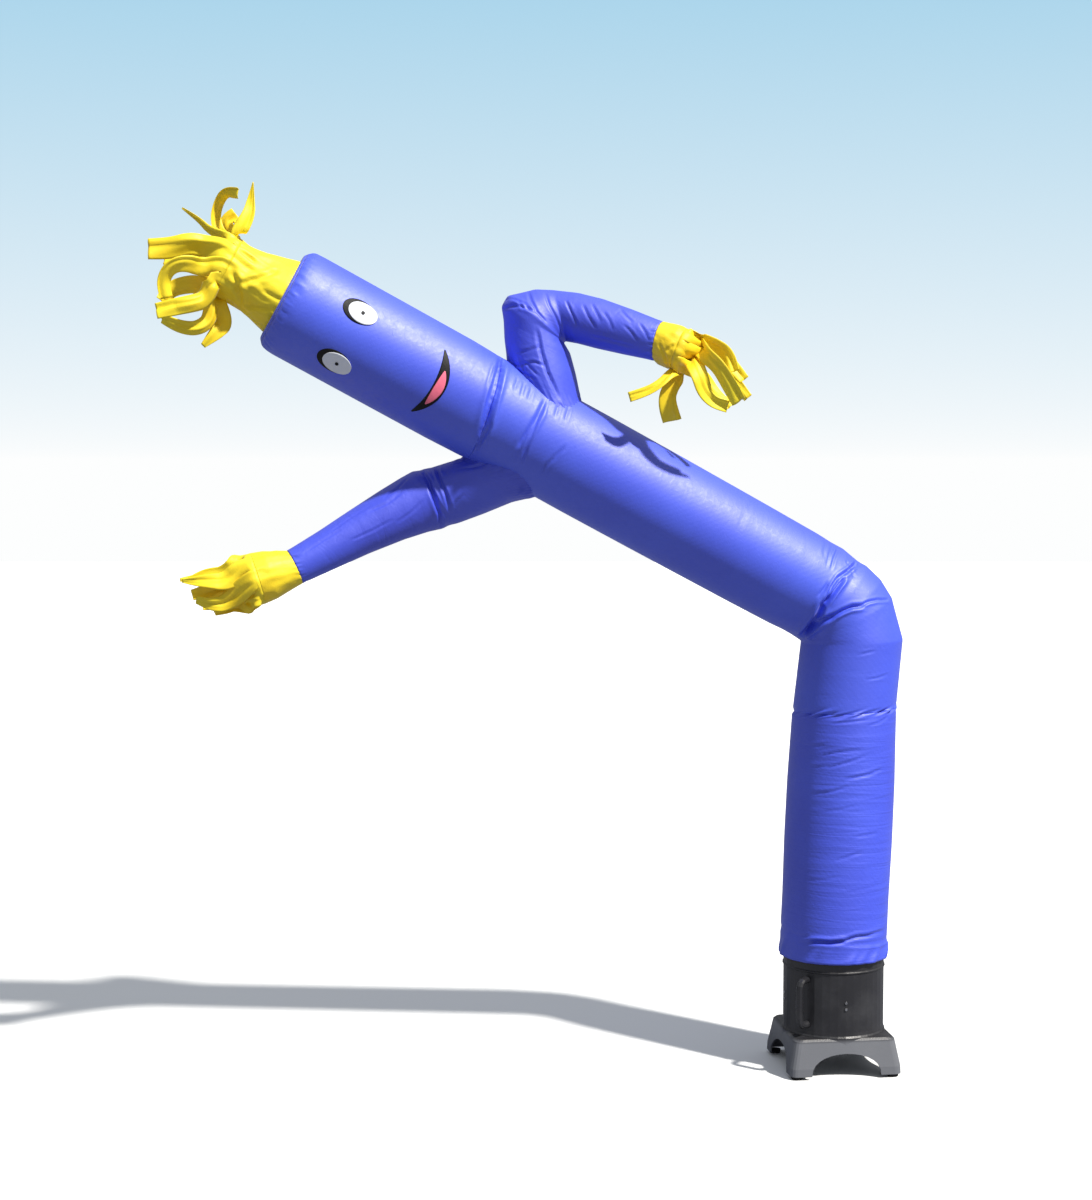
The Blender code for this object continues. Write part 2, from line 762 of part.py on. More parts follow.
def rounded_square(half, corner, z, steps=4):
    """A square outline with round corners."""
    points = []
    for quarter in range(4):
        middle = math.pi / 4 + quarter * math.pi / 2
        cx = (half - corner) * math.copysign(1, math.cos(middle))
        cy = (half - corner) * math.copysign(1, math.sin(middle))
        for i in range(steps + 1):
            turn = quarter * math.pi / 2 + math.pi / 2 * i / steps
            points.append(Vector((cx + corner * math.cos(turn), cy + corner * math.sin(turn), z)))
    return points


def build_drum(parent):
    """The drum's outside with its two beads, and the flare where it meets the base."""
    top = BLOWER_HEIGHT - RIM_HEIGHT - SEAM
    r = DRUM_D / 2
    profile = [(r + 0.004, BASE_HEIGHT - 0.030), (r + 0.004, BASE_HEIGHT + 0.001)]
    profile += [(r + 0.001, BASE_HEIGHT + 0.006), (r, BASE_HEIGHT + 0.016)]
    for below in sorted(BEADS_BELOW_TOP, reverse=True):
        z = BLOWER_HEIGHT - below
        crest = r + BEAD * 0.7
        profile += [(r, z - BEAD), (crest, z - BEAD / 3), (crest, z + BEAD / 3), (r, z + BEAD)]
    profile += [(r, top)]
    bm = bmesh.new()
    skin(bm, turned(profile, DRUM_SIDES), True)
    return as_cutter(add_object("drum_outside", bm, parent, None, smooth=False))


def build_housing(parent, surface):
    """One moulded shell: a drum on a skirted base with an arch in each side."""
    bm = bmesh.new()
    loops = [
        rounded_square(BASE_SIDE / 2, BASE_CORNER, FOOT_HEIGHT),
        rounded_square(BASE_SIDE / 2 - 0.001, BASE_CORNER, FOOT_HEIGHT + 0.022),
        rounded_square(PLATE_SIDE / 2 + 0.003, BASE_CORNER, BASE_HEIGHT - 0.006),
        rounded_square(PLATE_SIDE / 2 - 0.003, BASE_CORNER, BASE_HEIGHT),
    ]
    skin(bm, loops, True)
    housing = add_object("blower_housing", bm, parent, surface)
    boolean(housing, build_drum(parent), "UNION")
    bm = bmesh.new()
    hollow = [
        rounded_square(BASE_SIDE / 2 - BASE_WALL, BASE_CORNER, -0.01),
        rounded_square(BASE_SIDE / 2 - BASE_WALL - 0.001, BASE_CORNER, FOOT_HEIGHT + 0.022),
        rounded_square(PLATE_SIDE / 2 - BASE_WALL, BASE_CORNER, BASE_HEIGHT - BASE_WALL),
    ]
    skin(bm, hollow, True)
    base_hollow = as_cutter(add_object("base_hollow", bm, parent, None, smooth=False))
    boolean(housing, base_hollow)
    bm = bmesh.new()
    inner = DRUM_D / 2 - DRUM_WALL
    skin(bm, turned([(inner, 0.05), (inner, 0.4)], DRUM_SIDES), True)
    drum_hollow = as_cutter(add_object("drum_hollow", bm, parent, None, smooth=False))
    boolean(housing, drum_hollow)
    for side, turn in (("x", 0.0), ("y", math.pi / 2)):
        boolean(housing, build_arch(side, turn, parent))
    return housing


def build_arch(side, turn, parent):
    """A long plug with a flat oval section that cuts the arches of two facing sides."""
    bm = bmesh.new()
    steps = 14
    loops = []
    for end in (-1, 1):
        loop = [Vector((end * BASE_SIDE, -ARCH_WIDTH / 2 - 0.012, -0.02))]
        for i in range(steps + 1):
            angle = math.pi * (1 - i / steps)
            y = ARCH_WIDTH / 2 * math.cos(angle)
            z = FOOT_HEIGHT - 0.001 + ARCH_HEIGHT * math.sin(angle) ** 0.8
            loop.append(Vector((end * BASE_SIDE, y, z)))
        loop.append(Vector((end * BASE_SIDE, ARCH_WIDTH / 2 + 0.012, -0.02)))
        loops.append(loop)
    skin(bm, loops, True)
    bmesh.ops.rotate(bm, verts=bm.verts, cent=(0, 0, 0), matrix=Matrix.Rotation(turn, 3, "Z"))
    return as_cutter(add_object(f"arch_{side}", bm, parent, None, smooth=False))


def build_rim(parent, surface):
    """The collar on the drum's top that the guard screws to."""
    low = BLOWER_HEIGHT - RIM_HEIGHT
    inner = RIM_D / 2 - 0.0125
    outer = RIM_D / 2
    bm = bmesh.new()
    profile = [(inner, low), (outer, low), (outer, BLOWER_HEIGHT - 0.002)]
    profile += [(outer - 0.002, BLOWER_HEIGHT), (inner, BLOWER_HEIGHT)]
    lathe(bm, profile, DRUM_SIDES)
    return add_object("rim_collar", bm, parent, surface)


def build_guard(parent, surface):
    """Concentric rings on six spokes round a centre disc."""
    z = BLOWER_HEIGHT - RIM_HEIGHT / 2
    half = GUARD_WIRE / 2
    bm = bmesh.new()
    skin(bm, turned([(HUB_D / 2, z - 0.003), (HUB_D / 2, z + 0.003)], 16), True)
    guard = add_object("fan_guard", bm, parent, surface, smooth=False)
    for i in range(GUARD_RINGS):
        r = HUB_D / 2 + (GUARD_D / 2 - half - HUB_D / 2) * (i + 1) / GUARD_RINGS
        bm = bmesh.new()
        wire = [(r - half, z - half), (r + half, z - half), (r + half, z + half), (r - half, z + half)]
        lathe(bm, wire, GUARD_SIDES)
        ring = as_cutter(add_object(f"guard_ring_{i}", bm, parent, None, smooth=False))
        boolean(guard, ring, "UNION")
    for i in range(GUARD_SPOKES // 2):
        bm = bmesh.new()
        bmesh.ops.create_cube(bm, size=1.0)
        thin = GUARD_WIRE * 0.8
        bmesh.ops.scale(bm, vec=(GUARD_D - 0.001, thin, thin), verts=bm.verts)
        bmesh.ops.translate(bm, vec=(0, 0, z), verts=bm.verts)
        turn = Matrix.Rotation(math.pi * (i + 0.5) * 2 / GUARD_SPOKES, 3, "Z")
        bmesh.ops.rotate(bm, verts=bm.verts, cent=(0, 0, 0), matrix=turn)
        spoke = as_cutter(add_object(f"guard_spoke_{i}", bm, parent, None, smooth=False))
        boolean(guard, spoke, "UNION")
    return guard


def build_motor(parent, surface):
    """The fan's motor in the drum's middle, carried by four bars."""
    bm = bmesh.new()
    r = MOTOR_D / 2
    top = MOTOR_Z + MOTOR_TALL
    profile = [(r - 0.008, MOTOR_Z), (r, MOTOR_Z + 0.008), (r, top - 0.008)]
    profile += [(r - 0.008, top), (0.022, top + 0.001), (0.022, top + 0.020)]
    skin(bm, turned(profile, 24), True)
    motor = add_object("fan_motor", bm, parent, surface)
    reach = DRUM_D / 2 - DRUM_WALL - SEAM
    for i, turn in enumerate((0.0, math.pi / 2)):
        bm = bmesh.new()
        bmesh.ops.create_cube(bm, size=1.0)
        length = 2 * reach * math.cos(math.pi / DRUM_SIDES) - 0.0006
        bmesh.ops.scale(bm, vec=(length, ARM_BAR, 0.030), verts=bm.verts)
        bmesh.ops.translate(bm, vec=(0, 0, SCREW_Z), verts=bm.verts)
        bmesh.ops.rotate(bm, verts=bm.verts, cent=(0, 0, 0), matrix=Matrix.Rotation(turn, 3, "Z"))
        bar = as_cutter(add_object(f"motor_bar_{i}", bm, parent, None, smooth=False))
        boolean(motor, bar, "UNION")
    return motor


def build_handle(tag, turn, parent, surface):
    """A carrying handle: a round bar bent to a U against the drum."""
    top = BLOWER_HEIGHT - HANDLE_BELOW_TOP
    low = top - HANDLE_TALL
    bar = HANDLE_THICK / 2
    seat = DRUM_D / 2 + SEAM
    bend = 0.024
    out = DRUM_D / 2 + HANDLE_OUT - bar
    path = [(seat, top - bar), (out - bend, top - bar)]
    for i in range(1, 4):
        angle = math.pi / 2 * i / 4
        path.append((out - bend + bend * math.sin(angle), top - bar - bend + bend * math.cos(angle)))
    path.append((out, top - bar - bend))
    path += [(x, top + low - z) for x, z in reversed(path)]
    bm = bmesh.new()
    loops = []
    for i, (x, z) in enumerate(path):
        before = path[max(i - 1, 0)]
        after = path[min(i + 1, len(path) - 1)]
        run = Vector((after[0] - before[0], 0.0, after[1] - before[1])).normalized()
        side = Vector((0, 1, 0)).cross(run).normalized()
        loop = []
        for k in range(10):
            angle = 2 * math.pi * k / 10
            place = side * math.cos(angle) * bar + Vector((0, 1, 0)) * math.sin(angle) * bar
            loop.append(Vector((x, 0.0, z)) + place)
        loops.append(loop)
    skin(bm, loops, True)
    bmesh.ops.rotate(bm, verts=bm.verts, cent=(0, 0, 0), matrix=Matrix.Rotation(turn, 3, "Z"))
    return add_object(f"handle_{tag}", bm, parent, surface)


def build_screws(parent, surface):
    """A pair of screw heads in the middle of each side, over the motor's bars."""
    for side in range(4):
        for row, z in (("low", SCREW_Z - SCREW_APART / 2), ("high", SCREW_Z + SCREW_APART / 2)):
            bm = bmesh.new()
            bmesh.ops.create_cone(
                bm, cap_ends=True, segments=12, radius1=SCREW_D / 2,
                radius2=SCREW_D / 2 * 0.8, depth=SCREW_HEAD,
            )
            mesh_turn = Matrix.Rotation(math.pi / 2, 3, "Y")
            bmesh.ops.rotate(bm, verts=bm.verts, cent=(0, 0, 0), matrix=mesh_turn)
            screw = add_object(f"screw_{side}_{row}", bm, parent, surface)
            turn = side * math.pi / 2
            out = DRUM_D / 2 + SEAM + SCREW_HEAD / 2
            screw.location = (out * math.cos(turn), out * math.sin(turn), z)
            screw.rotation_euler = (0, 0, turn)


def build_feet(parent, surface):
    """Four round rubber feet under the base's corners."""
    for i in range(4):
        turn = math.pi / 4 + i * math.pi / 2
        bm = bmesh.new()
        bmesh.ops.create_cone(
            bm, cap_ends=True, segments=16, radius1=FOOT_D / 2 * 0.86,
            radius2=FOOT_D / 2, depth=FOOT_HEIGHT - SEAM,
        )
        foot = add_object(f"foot_{i + 1}", bm, parent, surface)
        middle = (FOOT_HEIGHT - SEAM) / 2
        foot.location = (FOOT_REACH * math.cos(turn), FOOT_REACH * math.sin(turn), middle)


def empty(name, location, turn=0.0, parent=None):
    made = bpy.data.objects.new(name, None)
    made.location = location
    made.rotation_euler = (0, 0, turn)
    made.parent = parent
    bpy.context.collection.objects.link(made)
    return made


def main():
    clear_scene()
    arm_up = ARM_UP_SHOULDER + elbow_sections(ARM_UP_ELBOW, ARM_UP_FOLDS) + ARM_UP_FOREARM
    blue = material("blue_cloth", BLUE, 0.42)
    yellow = material("yellow_cloth", YELLOW, 0.45)
    black = material("black_cloth", BLACK_CLOTH, 0.5)
    white = material("white_cloth", WHITE_CLOTH, 0.5)
    red = material("red_cloth", RED_CLOTH, 0.5)
    plastic = material("black_plastic", BLACK_PLASTIC, 0.5)
    rubber = material("black_rubber", BLACK_RUBBER, 0.8)
    steel = material("screw_steel", STEEL, 0.3, 1.0)
    paint = material("grey_paint", GREY_PAINT, 0.5, 0.4)

    figure = empty("air_dancer", (AXIS_X, AXIS_Y, 0.0))
    cloth_tube("leg_panel", [leg_ring(s) for s in LEG], BODY_SIDES, figure, blue)
    chest = cloth_tube("chest_panel", chest_rings(), BODY_SIDES, figure, blue)
    plug_rings = [upper_ring(section) for section in CHEST]
    plug_rings += [upper_ring(section) for section in HEAD[1:5]]
    chest_plug = solid_tube("chest_plug", plug_rings, BODY_SIDES, figure, grow=SEAM)
    cloth_tube("head_panel", head_rings(), BODY_SIDES, figure, blue)
    build_crown(figure, blue)
    build_arm("arm_upper", arm_up, chest_plug, chest, figure, blue)
    build_arm("arm_lower", ARM_LOW, chest_plug, chest, figure, blue)
    build_hair(figure, yellow)
    build_hand("upper", arm_up, CUFF_UP, CUFF_UP_SECTIONS, HAND_UP_STRIPS, figure, yellow)
    build_hand("lower", ARM_LOW, CUFF_LOW, CUFF_LOW_SECTIONS, HAND_LOW_STRIPS, figure, yellow)
    build_face(figure, white, black, red)

    blower = empty("blower", (0, 0, 0), BLOWER_TURN, figure)
    build_housing(blower, plastic)
    build_rim(blower, plastic)
    build_guard(blower, plastic)
    build_motor(blower, paint)
    build_handle("front", math.radians(225), blower, plastic)
    build_handle("back", math.radians(45), blower, plastic)
    build_screws(blower, steel)
    build_feet(blower, rubber)


main()
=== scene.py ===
# %% [markdown]
# # An inflatable air dancer on its blower
# The real thing is a tube of thin coated nylon, about 305 mm wide and 3 m long, that a floor
# blower fills with air. Here it leans over with a hard fold at its waist. Two tapered sleeves
# are its arms, yellow cuffs and strips are its hands and hair, and its face is sewn on.
# The CAD model gives the true sizes and places. This file makes its looks: the cloth with its
# folds, the moulded blower, the materials and the light.

# %% Load the CAD model as a fixed frame
import math
from collections import namedtuple

import bmesh
import bpy
import numpy as np
from mathutils import Matrix, Vector
from mathutils.bvhtree import BVHTree


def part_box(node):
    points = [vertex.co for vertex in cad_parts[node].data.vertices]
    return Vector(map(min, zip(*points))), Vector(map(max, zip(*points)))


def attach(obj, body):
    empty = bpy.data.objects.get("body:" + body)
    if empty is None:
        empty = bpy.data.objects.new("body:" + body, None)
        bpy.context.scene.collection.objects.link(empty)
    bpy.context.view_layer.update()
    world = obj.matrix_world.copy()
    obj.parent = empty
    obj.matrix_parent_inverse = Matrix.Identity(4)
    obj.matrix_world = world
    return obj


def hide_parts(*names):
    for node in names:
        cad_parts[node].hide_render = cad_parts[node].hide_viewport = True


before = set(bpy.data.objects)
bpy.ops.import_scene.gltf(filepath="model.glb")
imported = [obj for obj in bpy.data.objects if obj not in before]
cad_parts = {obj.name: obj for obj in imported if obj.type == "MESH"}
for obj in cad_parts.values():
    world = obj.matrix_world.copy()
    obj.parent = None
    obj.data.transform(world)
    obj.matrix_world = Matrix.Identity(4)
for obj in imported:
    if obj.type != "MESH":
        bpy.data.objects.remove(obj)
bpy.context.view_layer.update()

# %% [markdown]
# The camera stands where the photographer did: about 6 m in front of the figure and a little
# below the height of its head. A long lens keeps the tube from growing towards the edges.
# The same lens gives the line of sight through any pixel of the photograph, and each fold
# further down is placed on the cloth along such a line.

# %% Camera
PHOTO_WIDE, PHOTO_TALL = 1092, 1200
LENS_MM, SENSOR_MM = 64.0, 36.0
CAMERA_AT = Vector((0.015, -5.95, 1.75))
CAMERA_DOWN = math.radians(3.8)

bpy.ops.object.camera_add(location=CAMERA_AT, rotation=(math.pi / 2 - CAMERA_DOWN, 0, 0))
camera = bpy.context.object
camera.name = "studio_camera"
camera.data.lens = LENS_MM
camera.data.sensor_width = SENSOR_MM
bpy.context.scene.camera = camera
bpy.context.view_layer.update()


def sight_line(x, y):
    """The direction from the camera through one pixel of the photograph."""
    scale = SENSOR_MM / LENS_MM / PHOTO_TALL
    local = Vector(((x - PHOTO_WIDE / 2) * scale, (PHOTO_TALL / 2 - y) * scale, -1.0))
    return (camera.matrix_world.to_3x3() @ local).normalized()


print("camera", [round(v, 3) for v in CAMERA_AT])

# %% [markdown]
# Each colour below is the sRGB hex value that a colour picker shows. Shaders count light
# evenly, so one function turns the hex value to linear. A second small function adds a node
# with its settings and links, which keeps each material short enough to read.

# %% Two helpers for materials


def linear(hex_code):
    """An sRGB hex colour as the linear red, green, blue and alpha of a shader."""
    parts = [int(hex_code[i:i + 2], 16) / 255 for i in (0, 2, 4)]
    return tuple(c / 12.92 if c <= 0.04045 else ((c + 0.055) / 1.055) ** 2.4 for c in parts) + (1.0,)


def put(tree, kind, values=None, links=None, **options):
    """Adds a node: options are its own settings, values and links go to its inputs."""
    made = tree.nodes.new("ShaderNode" + kind)
    for name, value in options.items():
        setattr(made, name, value)
    for name, value in (values or {}).items():
        made.inputs[name].default_value = value
    for name, socket in (links or {}).items():
        tree.links.new(socket, made.inputs[name])
    return made


def new_material(name):
    """An empty material with its Principled shader."""
    made = bpy.data.materials.new(name)
    made.use_nodes = True
    return made, made.node_tree, made.node_tree.nodes["Principled BSDF"]


print("nylon blue as linear:", [round(c, 3) for c in linear("4450c8")])

# %% [markdown]
# A photo studio needs little: a pale floor, one large light high up in front on the right, which
# gives the raised hand's shadow on the chest, and soft light that grows towards the top. The backdrop
# is a pale blue that fades to white at the floor. Backdrop and floor look brighter than the
# light they give back, or the shaded side of the cloth would be as bright as the lit one.

# %% Floor and light
FLOOR_SIDE = 60.0
bpy.ops.object.select_all(action="DESELECT")
bpy.ops.mesh.primitive_plane_add(size=FLOOR_SIDE, location=(0, 0, 0))
floor = bpy.context.object
floor.name = "studio_floor"
floor_paint, tree, shader = new_material("painted_studio_floor")
shader.inputs["Base Color"].default_value = linear("f6f8f9")
shader.inputs["Roughness"].default_value = 0.9
shader.inputs["Specular IOR Level"].default_value = 0.1
dull_floor = put(tree, "BsdfDiffuse", {"Color": linear("797c84")})
floor_seen = put(tree, "LightPath").outputs["Is Camera Ray"]
floor_look = put(tree, "MixShader", {}, {0: floor_seen, 1: dull_floor.outputs[0], 2: shader.outputs[0]})
tree.links.new(floor_look.outputs[0], tree.nodes["Material Output"].inputs["Surface"])
floor.data.materials.append(floor_paint)

world = bpy.data.worlds.new("studio")
world.use_nodes = True
bpy.context.scene.world = world
bpy.context.scene.view_settings.view_transform = "Standard"
tree = world.node_tree
up = put(tree, "SeparateXYZ", {}, {"Vector": put(tree, "TexCoord").outputs["Generated"]})
height = put(tree, "MapRange", {1: 0.0, 2: 0.205}, {0: up.outputs["Z"]})
height = put(tree, "Math", {1: 0.72}, {0: height.outputs[0]}, operation="POWER")
backdrop = put(tree, "Mix", {6: linear("fdfefe"), 7: linear("add6ec")}, {0: height.outputs[0]}, data_type="RGBA")
tree.links.new(backdrop.outputs[2], tree.nodes["Background"].inputs["Color"])
sky_share = put(tree, "MapRange", {1: -0.2, 2: 1.0, 3: 0.05, 4: 0.66}, {0: up.outputs["Z"]})
soft_light = put(tree, "Background", {"Color": linear("e8edf5")}, {"Strength": sky_share.outputs[0]})
seen = put(tree, "LightPath").outputs["Is Camera Ray"]
both = put(tree, "MixShader", {}, {0: seen, 1: soft_light.outputs[0], 2: tree.nodes["Background"].outputs[0]})
tree.links.new(both.outputs[0], tree.nodes["World Output"].inputs["Surface"])

TO_LIGHT = Vector((0.50, -0.40, 0.77)).normalized()
bpy.ops.object.light_add(type="SUN", location=TO_LIGHT * 9)
key_light = bpy.context.object
key_light.name = "key_light"
key_light.data.energy = 5.3
key_light.data.angle = math.radians(3.0)
key_light.data.color = linear("fffaf2")[:3]
key_light.rotation_mode = "QUATERNION"
key_light.rotation_quaternion = TO_LIGHT.to_track_quat("Z", "Y")
print("light comes from", [round(v, 2) for v in TO_LIGHT])

# %% [markdown]
# Air dancers are sewn from nylon taffeta of about 70 g for a square metre with a polyurethane
# coating. The coat gives a soft sheen instead of sparkle, and the cloth keeps hundreds of
# small creases from being packed. So the material has three reliefs: long shallow waves that
# follow the pull of the air, small packing creases, and the weave. Real threads lie 0.1 mm
# apart, which no picture of a 3 m figure can show, so the weave is drawn at 1.5 mm.
# The pattern reads a UV map in metres of cloth, so it keeps its scale round every bend.

# %% Coated nylon
CLOTH_MAP = "cloth_metres"
THREAD_DRAWN = 0.0015


def coated_nylon(name, lit, shade, waves=(7.0, 26.0), wave_mm=1.2, crease_mm=0.5, rough=0.56, gloss=0.95):
    """Nylon taffeta with a soft coat. waves is how often they come round and along, in a metre."""
    made, tree, shader = new_material(name)
    cloth = put(tree, "UVMap", uv_map=CLOTH_MAP).outputs["UV"]
    stretched = put(tree, "Mapping", {"Scale": (waves[0], waves[1], 1)}, {"Vector": cloth})
    long_waves = put(tree, "TexNoise", {"Scale": 1.0, "Detail": 3.0, "Distortion": 0.6},
                     {"Vector": stretched.outputs[0]})
    creases = put(tree, "TexNoise", {"Scale": 62.0, "Detail": 5.0, "Roughness": 0.62, "Distortion": 0.9},
                  {"Vector": cloth})
    folded = put(tree, "Math", {1: 0.5}, {0: creases.outputs[0]}, operation="SUBTRACT")
    folded = put(tree, "Math", {}, {0: folded.outputs[0]}, operation="ABSOLUTE")
    weave = put(tree, "TexWave", {"Scale": 1 / THREAD_DRAWN / 20, "Distortion": 0.4}, {"Vector": cloth},
                bands_direction="DIAGONAL")
    height = put(tree, "Math", {1: wave_mm / 1000}, {0: long_waves.outputs[0]}, operation="MULTIPLY")
    height = put(tree, "Math", {1: -3.2 * crease_mm / 1000},
                 {0: folded.outputs[0], 2: height.outputs[0]}, operation="MULTIPLY_ADD")
    height = put(tree, "Math", {1: 0.00006}, {0: weave.outputs[1], 2: height.outputs[0]},
                 operation="MULTIPLY_ADD")
    bump = put(tree, "Bump", {"Strength": 1.0, "Distance": 1.0}, {"Height": height.outputs[0]})
    patches = put(tree, "TexNoise", {"Scale": 3.1, "Detail": 4.0}, {"Vector": cloth})
    shares = put(tree, "MapRange", {1: 0.35, 2: 0.68}, {0: patches.outputs[0]})
    colour = put(tree, "Mix", {6: linear(shade), 7: linear(lit)}, {0: shares.outputs[0]}, data_type="RGBA")
    rubbed = put(tree, "MapRange", {1: 0.3, 2: 0.7, 3: rough - 0.05, 4: rough + 0.08},
                 {0: creases.outputs[0]})
    tree.links.new(colour.outputs[2], shader.inputs["Base Color"])
    tree.links.new(rubbed.outputs[0], shader.inputs["Roughness"])
    tree.links.new(bump.outputs[0], shader.inputs["Normal"])
    shader.inputs["IOR"].default_value = 1.53
    shader.inputs["Specular IOR Level"].default_value = gloss
    shader.inputs["Coat Weight"].default_value = 0.5 * gloss
    shader.inputs["Coat Roughness"].default_value = 0.52
    shader.inputs["Sheen Weight"].default_value = 0.10
    shader.inputs["Sheen Roughness"].default_value = 0.35
    return made


body_nylon = coated_nylon("blue_coated_nylon", "4460f4", "3d55e8", crease_mm=0.22)
leg_nylon = coated_nylon("blue_coated_nylon_leg", "415af0", "384ee2", waves=(3.5, 42.0), wave_mm=2.8, crease_mm=0.3)
arm_nylon = coated_nylon("blue_coated_nylon_arms", "3e55ea", "3547da", waves=(9.0, 22.0), wave_mm=2.2, crease_mm=0.3)
hair_nylon = coated_nylon("yellow_coated_nylon", "fff02c", "ffd812", waves=(26.0, 9.0), wave_mm=1.8, crease_mm=0.35,
                          gloss=0.5)
print("cloth materials:", [m.name for m in (body_nylon, leg_nylon, arm_nylon, hair_nylon)])

# %% [markdown]
# The tube is a stack of oval rings, the same ones that the CAD model is made of: how far up
# the cloth each is, how wide and deep, how it slants. The blower's axis is the zero line for
# them all. Rows of points every few millimetres fill the space between two rings, and a few
# passes of averaging ease the hard edge that a straight run between rings would leave.

# %% Rings of cloth
AXIS = np.array((0.845, 0.130, 0.0))
Ring = namedtuple("Ring", "centre across_axis deep_axis across deep")


def ring_points(ring, sides):
    """Points round an oval; turn 0 is its upper or outer side and 270 degrees its front."""
    turns = np.arange(sides) * 2 * math.pi / sides
    out = np.outer(np.cos(turns) * ring.across / 2, np.array(ring.across_axis))
    back = np.outer(np.sin(turns) * ring.deep / 2, np.array(ring.deep_axis))
    return np.array(ring.centre) + AXIS + out + back


def fine_rows(rings, sides, steps, ease):
    """Rows of points, one step for each gap between rings, and the row at which each ring lies."""
    loops = [ring_points(ring, sides) for ring in rings]
    rows, marks = [loops[0]], [0]
    for low, high, step in zip(loops, loops[1:], steps):
        gap = np.linalg.norm(high - low, axis=1).max()
        count = max(1, round(gap / step))
        rows += [low + (high - low) * (i / count) for i in range(1, count + 1)]
        marks.append(len(rows) - 1)
    rows = np.array(rows)
    for _ in range(ease):
        rows[1:-1] = (rows[:-2] + 2 * rows[1:-1] + rows[2:]) / 4
    return rows, marks


def outward(rows):
    """The surface's direction at each point of a tube."""
    along = np.gradient(rows, axis=0)
    around = np.roll(rows, -1, axis=1) - np.roll(rows, 1, axis=1)
    normals = np.cross(along, around)
    normals /= np.maximum(np.linalg.norm(normals, axis=2, keepdims=True), 1e-12)
    middle = rows.mean(axis=1, keepdims=True)
    facing = np.sign((normals * (rows - middle)).sum(axis=2).mean())
    return normals * facing


# %% [markdown]
# The leg stands on the blower and leans 2 degrees. At the waist the tube is bent so far that
# it folds twice, and both folds fan out from one inner corner. The chest and head then rise
# to the left at 29 degrees, and 9 degrees towards the viewer.

# %% The body's rings
HEM_Z, LEG_LEAN, LEG_STRAIGHT_TO = 0.325, math.radians(2.2), 0.075
LegSection = namedtuple("LegSection", "along across deep slant")
LEG = (
    LegSection(0.000, 0.3085, 0.3085, 0),
    LegSection(0.022, 0.3047, 0.3047, 0),
    LegSection(0.034, 0.3047, 0.3047, 0),
    LegSection(0.050, 0.3080, 0.3080, 4),
    LegSection(0.062, 0.3010, 0.3010, 6),
    LegSection(0.075, 0.3050, 0.3050, 4),
    LegSection(0.170, 0.3040, 0.3060, 0),
    LegSection(0.330, 0.3080, 0.3040, 0),
    LegSection(0.500, 0.3060, 0.3060, 0),
    LegSection(0.640, 0.2980, 0.3080, 0),
    LegSection(0.690, 0.2960, 0.3060, -3),
    LegSection(0.710, 0.2940, 0.3040, -5),
)
CORNER_X, CORNER_Z, CORNER_ROUND, CORNER_FACES = -0.102, 1.230, 0.008, math.radians(35)
FoldRing = namedtuple("FoldRing", "rise across deep")
FOLDS = (
    FoldRing(2, 0.289, 0.303),
    FoldRing(21, 0.282, 0.300),
    FoldRing(26, 0.286, 0.300),
    FoldRing(38, 0.286, 0.300),
    FoldRing(49, 0.283, 0.300),
    FoldRing(54, 0.278, 0.300),
)
RISE, TOWARD, UPPER_X, UPPER_Z = math.radians(28.7), math.radians(8.7), -0.024, 1.353
UpperSection = namedtuple("UpperSection", "along across deep slant")
CHEST = (
    UpperSection(0.040, 0.284, 0.302, -2),
    UpperSection(0.077, 0.283, 0.303, 0),
    UpperSection(0.118, 0.288, 0.303, 0),
    UpperSection(0.270, 0.292, 0.302, 2),
    UpperSection(0.430, 0.294, 0.301, 0),
    UpperSection(0.610, 0.296, 0.300, 0),
    UpperSection(0.800, 0.297, 0.300, 0),
    UpperSection(0.980, 0.296, 0.299, 6),
    UpperSection(1.002, 0.295, 0.297, 8),
    UpperSection(1.024, 0.296, 0.299, 8),
    UpperSection(1.102, 0.296, 0.299, 9),
    UpperSection(1.128, 0.294, 0.297, 10),
)
HEAD = (
    UpperSection(1.154, 0.296, 0.300, 9),
    UpperSection(1.236, 0.297, 0.300, 2),
    UpperSection(1.640, 0.297, 0.300, 0),
    UpperSection(1.707, 0.297, 0.300, 0),
    UpperSection(1.729, 0.292, 0.293, 0),
    UpperSection(1.742, 0.279, 0.280, 0),
    UpperSection(1.748, 0.264, 0.265, 0),
)


def leg_ring(section):
    above = max(0.0, section.along - LEG_STRAIGHT_TO)
    slant = math.radians(section.slant) + (LEG_LEAN if above else 0.0)
    centre = (math.sin(LEG_LEAN) * above, 0.0, HEM_Z + section.along)
    return Ring(centre, (math.cos(slant), 0.0, -math.sin(slant)), (0, 1, 0), section.across, section.deep)


def fold_ring(fold):
    rise = math.radians(fold.rise)
    across_axis = np.array((math.cos(rise), 0.0, math.sin(rise)))
    facing = np.array((math.cos(CORNER_FACES), 0.0, math.sin(CORNER_FACES)))
    pivot = np.array((CORNER_X, 0.0, CORNER_Z)) - facing * CORNER_ROUND
    return Ring(pivot + across_axis * (CORNER_ROUND + fold.across / 2), across_axis, (0, 1, 0),
                fold.across, fold.deep)


level = math.cos(TOWARD)
UPPER_AXIS = np.array((-math.cos(RISE) * level, -math.sin(TOWARD), math.sin(RISE) * level))


def upper_centre(along):
    return np.array((UPPER_X, 0.0, UPPER_Z)) + UPPER_AXIS * along


def upper_axes(slant=0.0):
    lean = RISE - math.radians(slant)
    across_axis = np.array((math.sin(lean), 0.0, math.cos(lean)))
    deep_axis = np.cross(UPPER_AXIS, across_axis)
    return across_axis, deep_axis / np.linalg.norm(deep_axis)


def upper_ring(section):
    return Ring(upper_centre(section.along), *upper_axes(section.slant), section.across, section.deep)


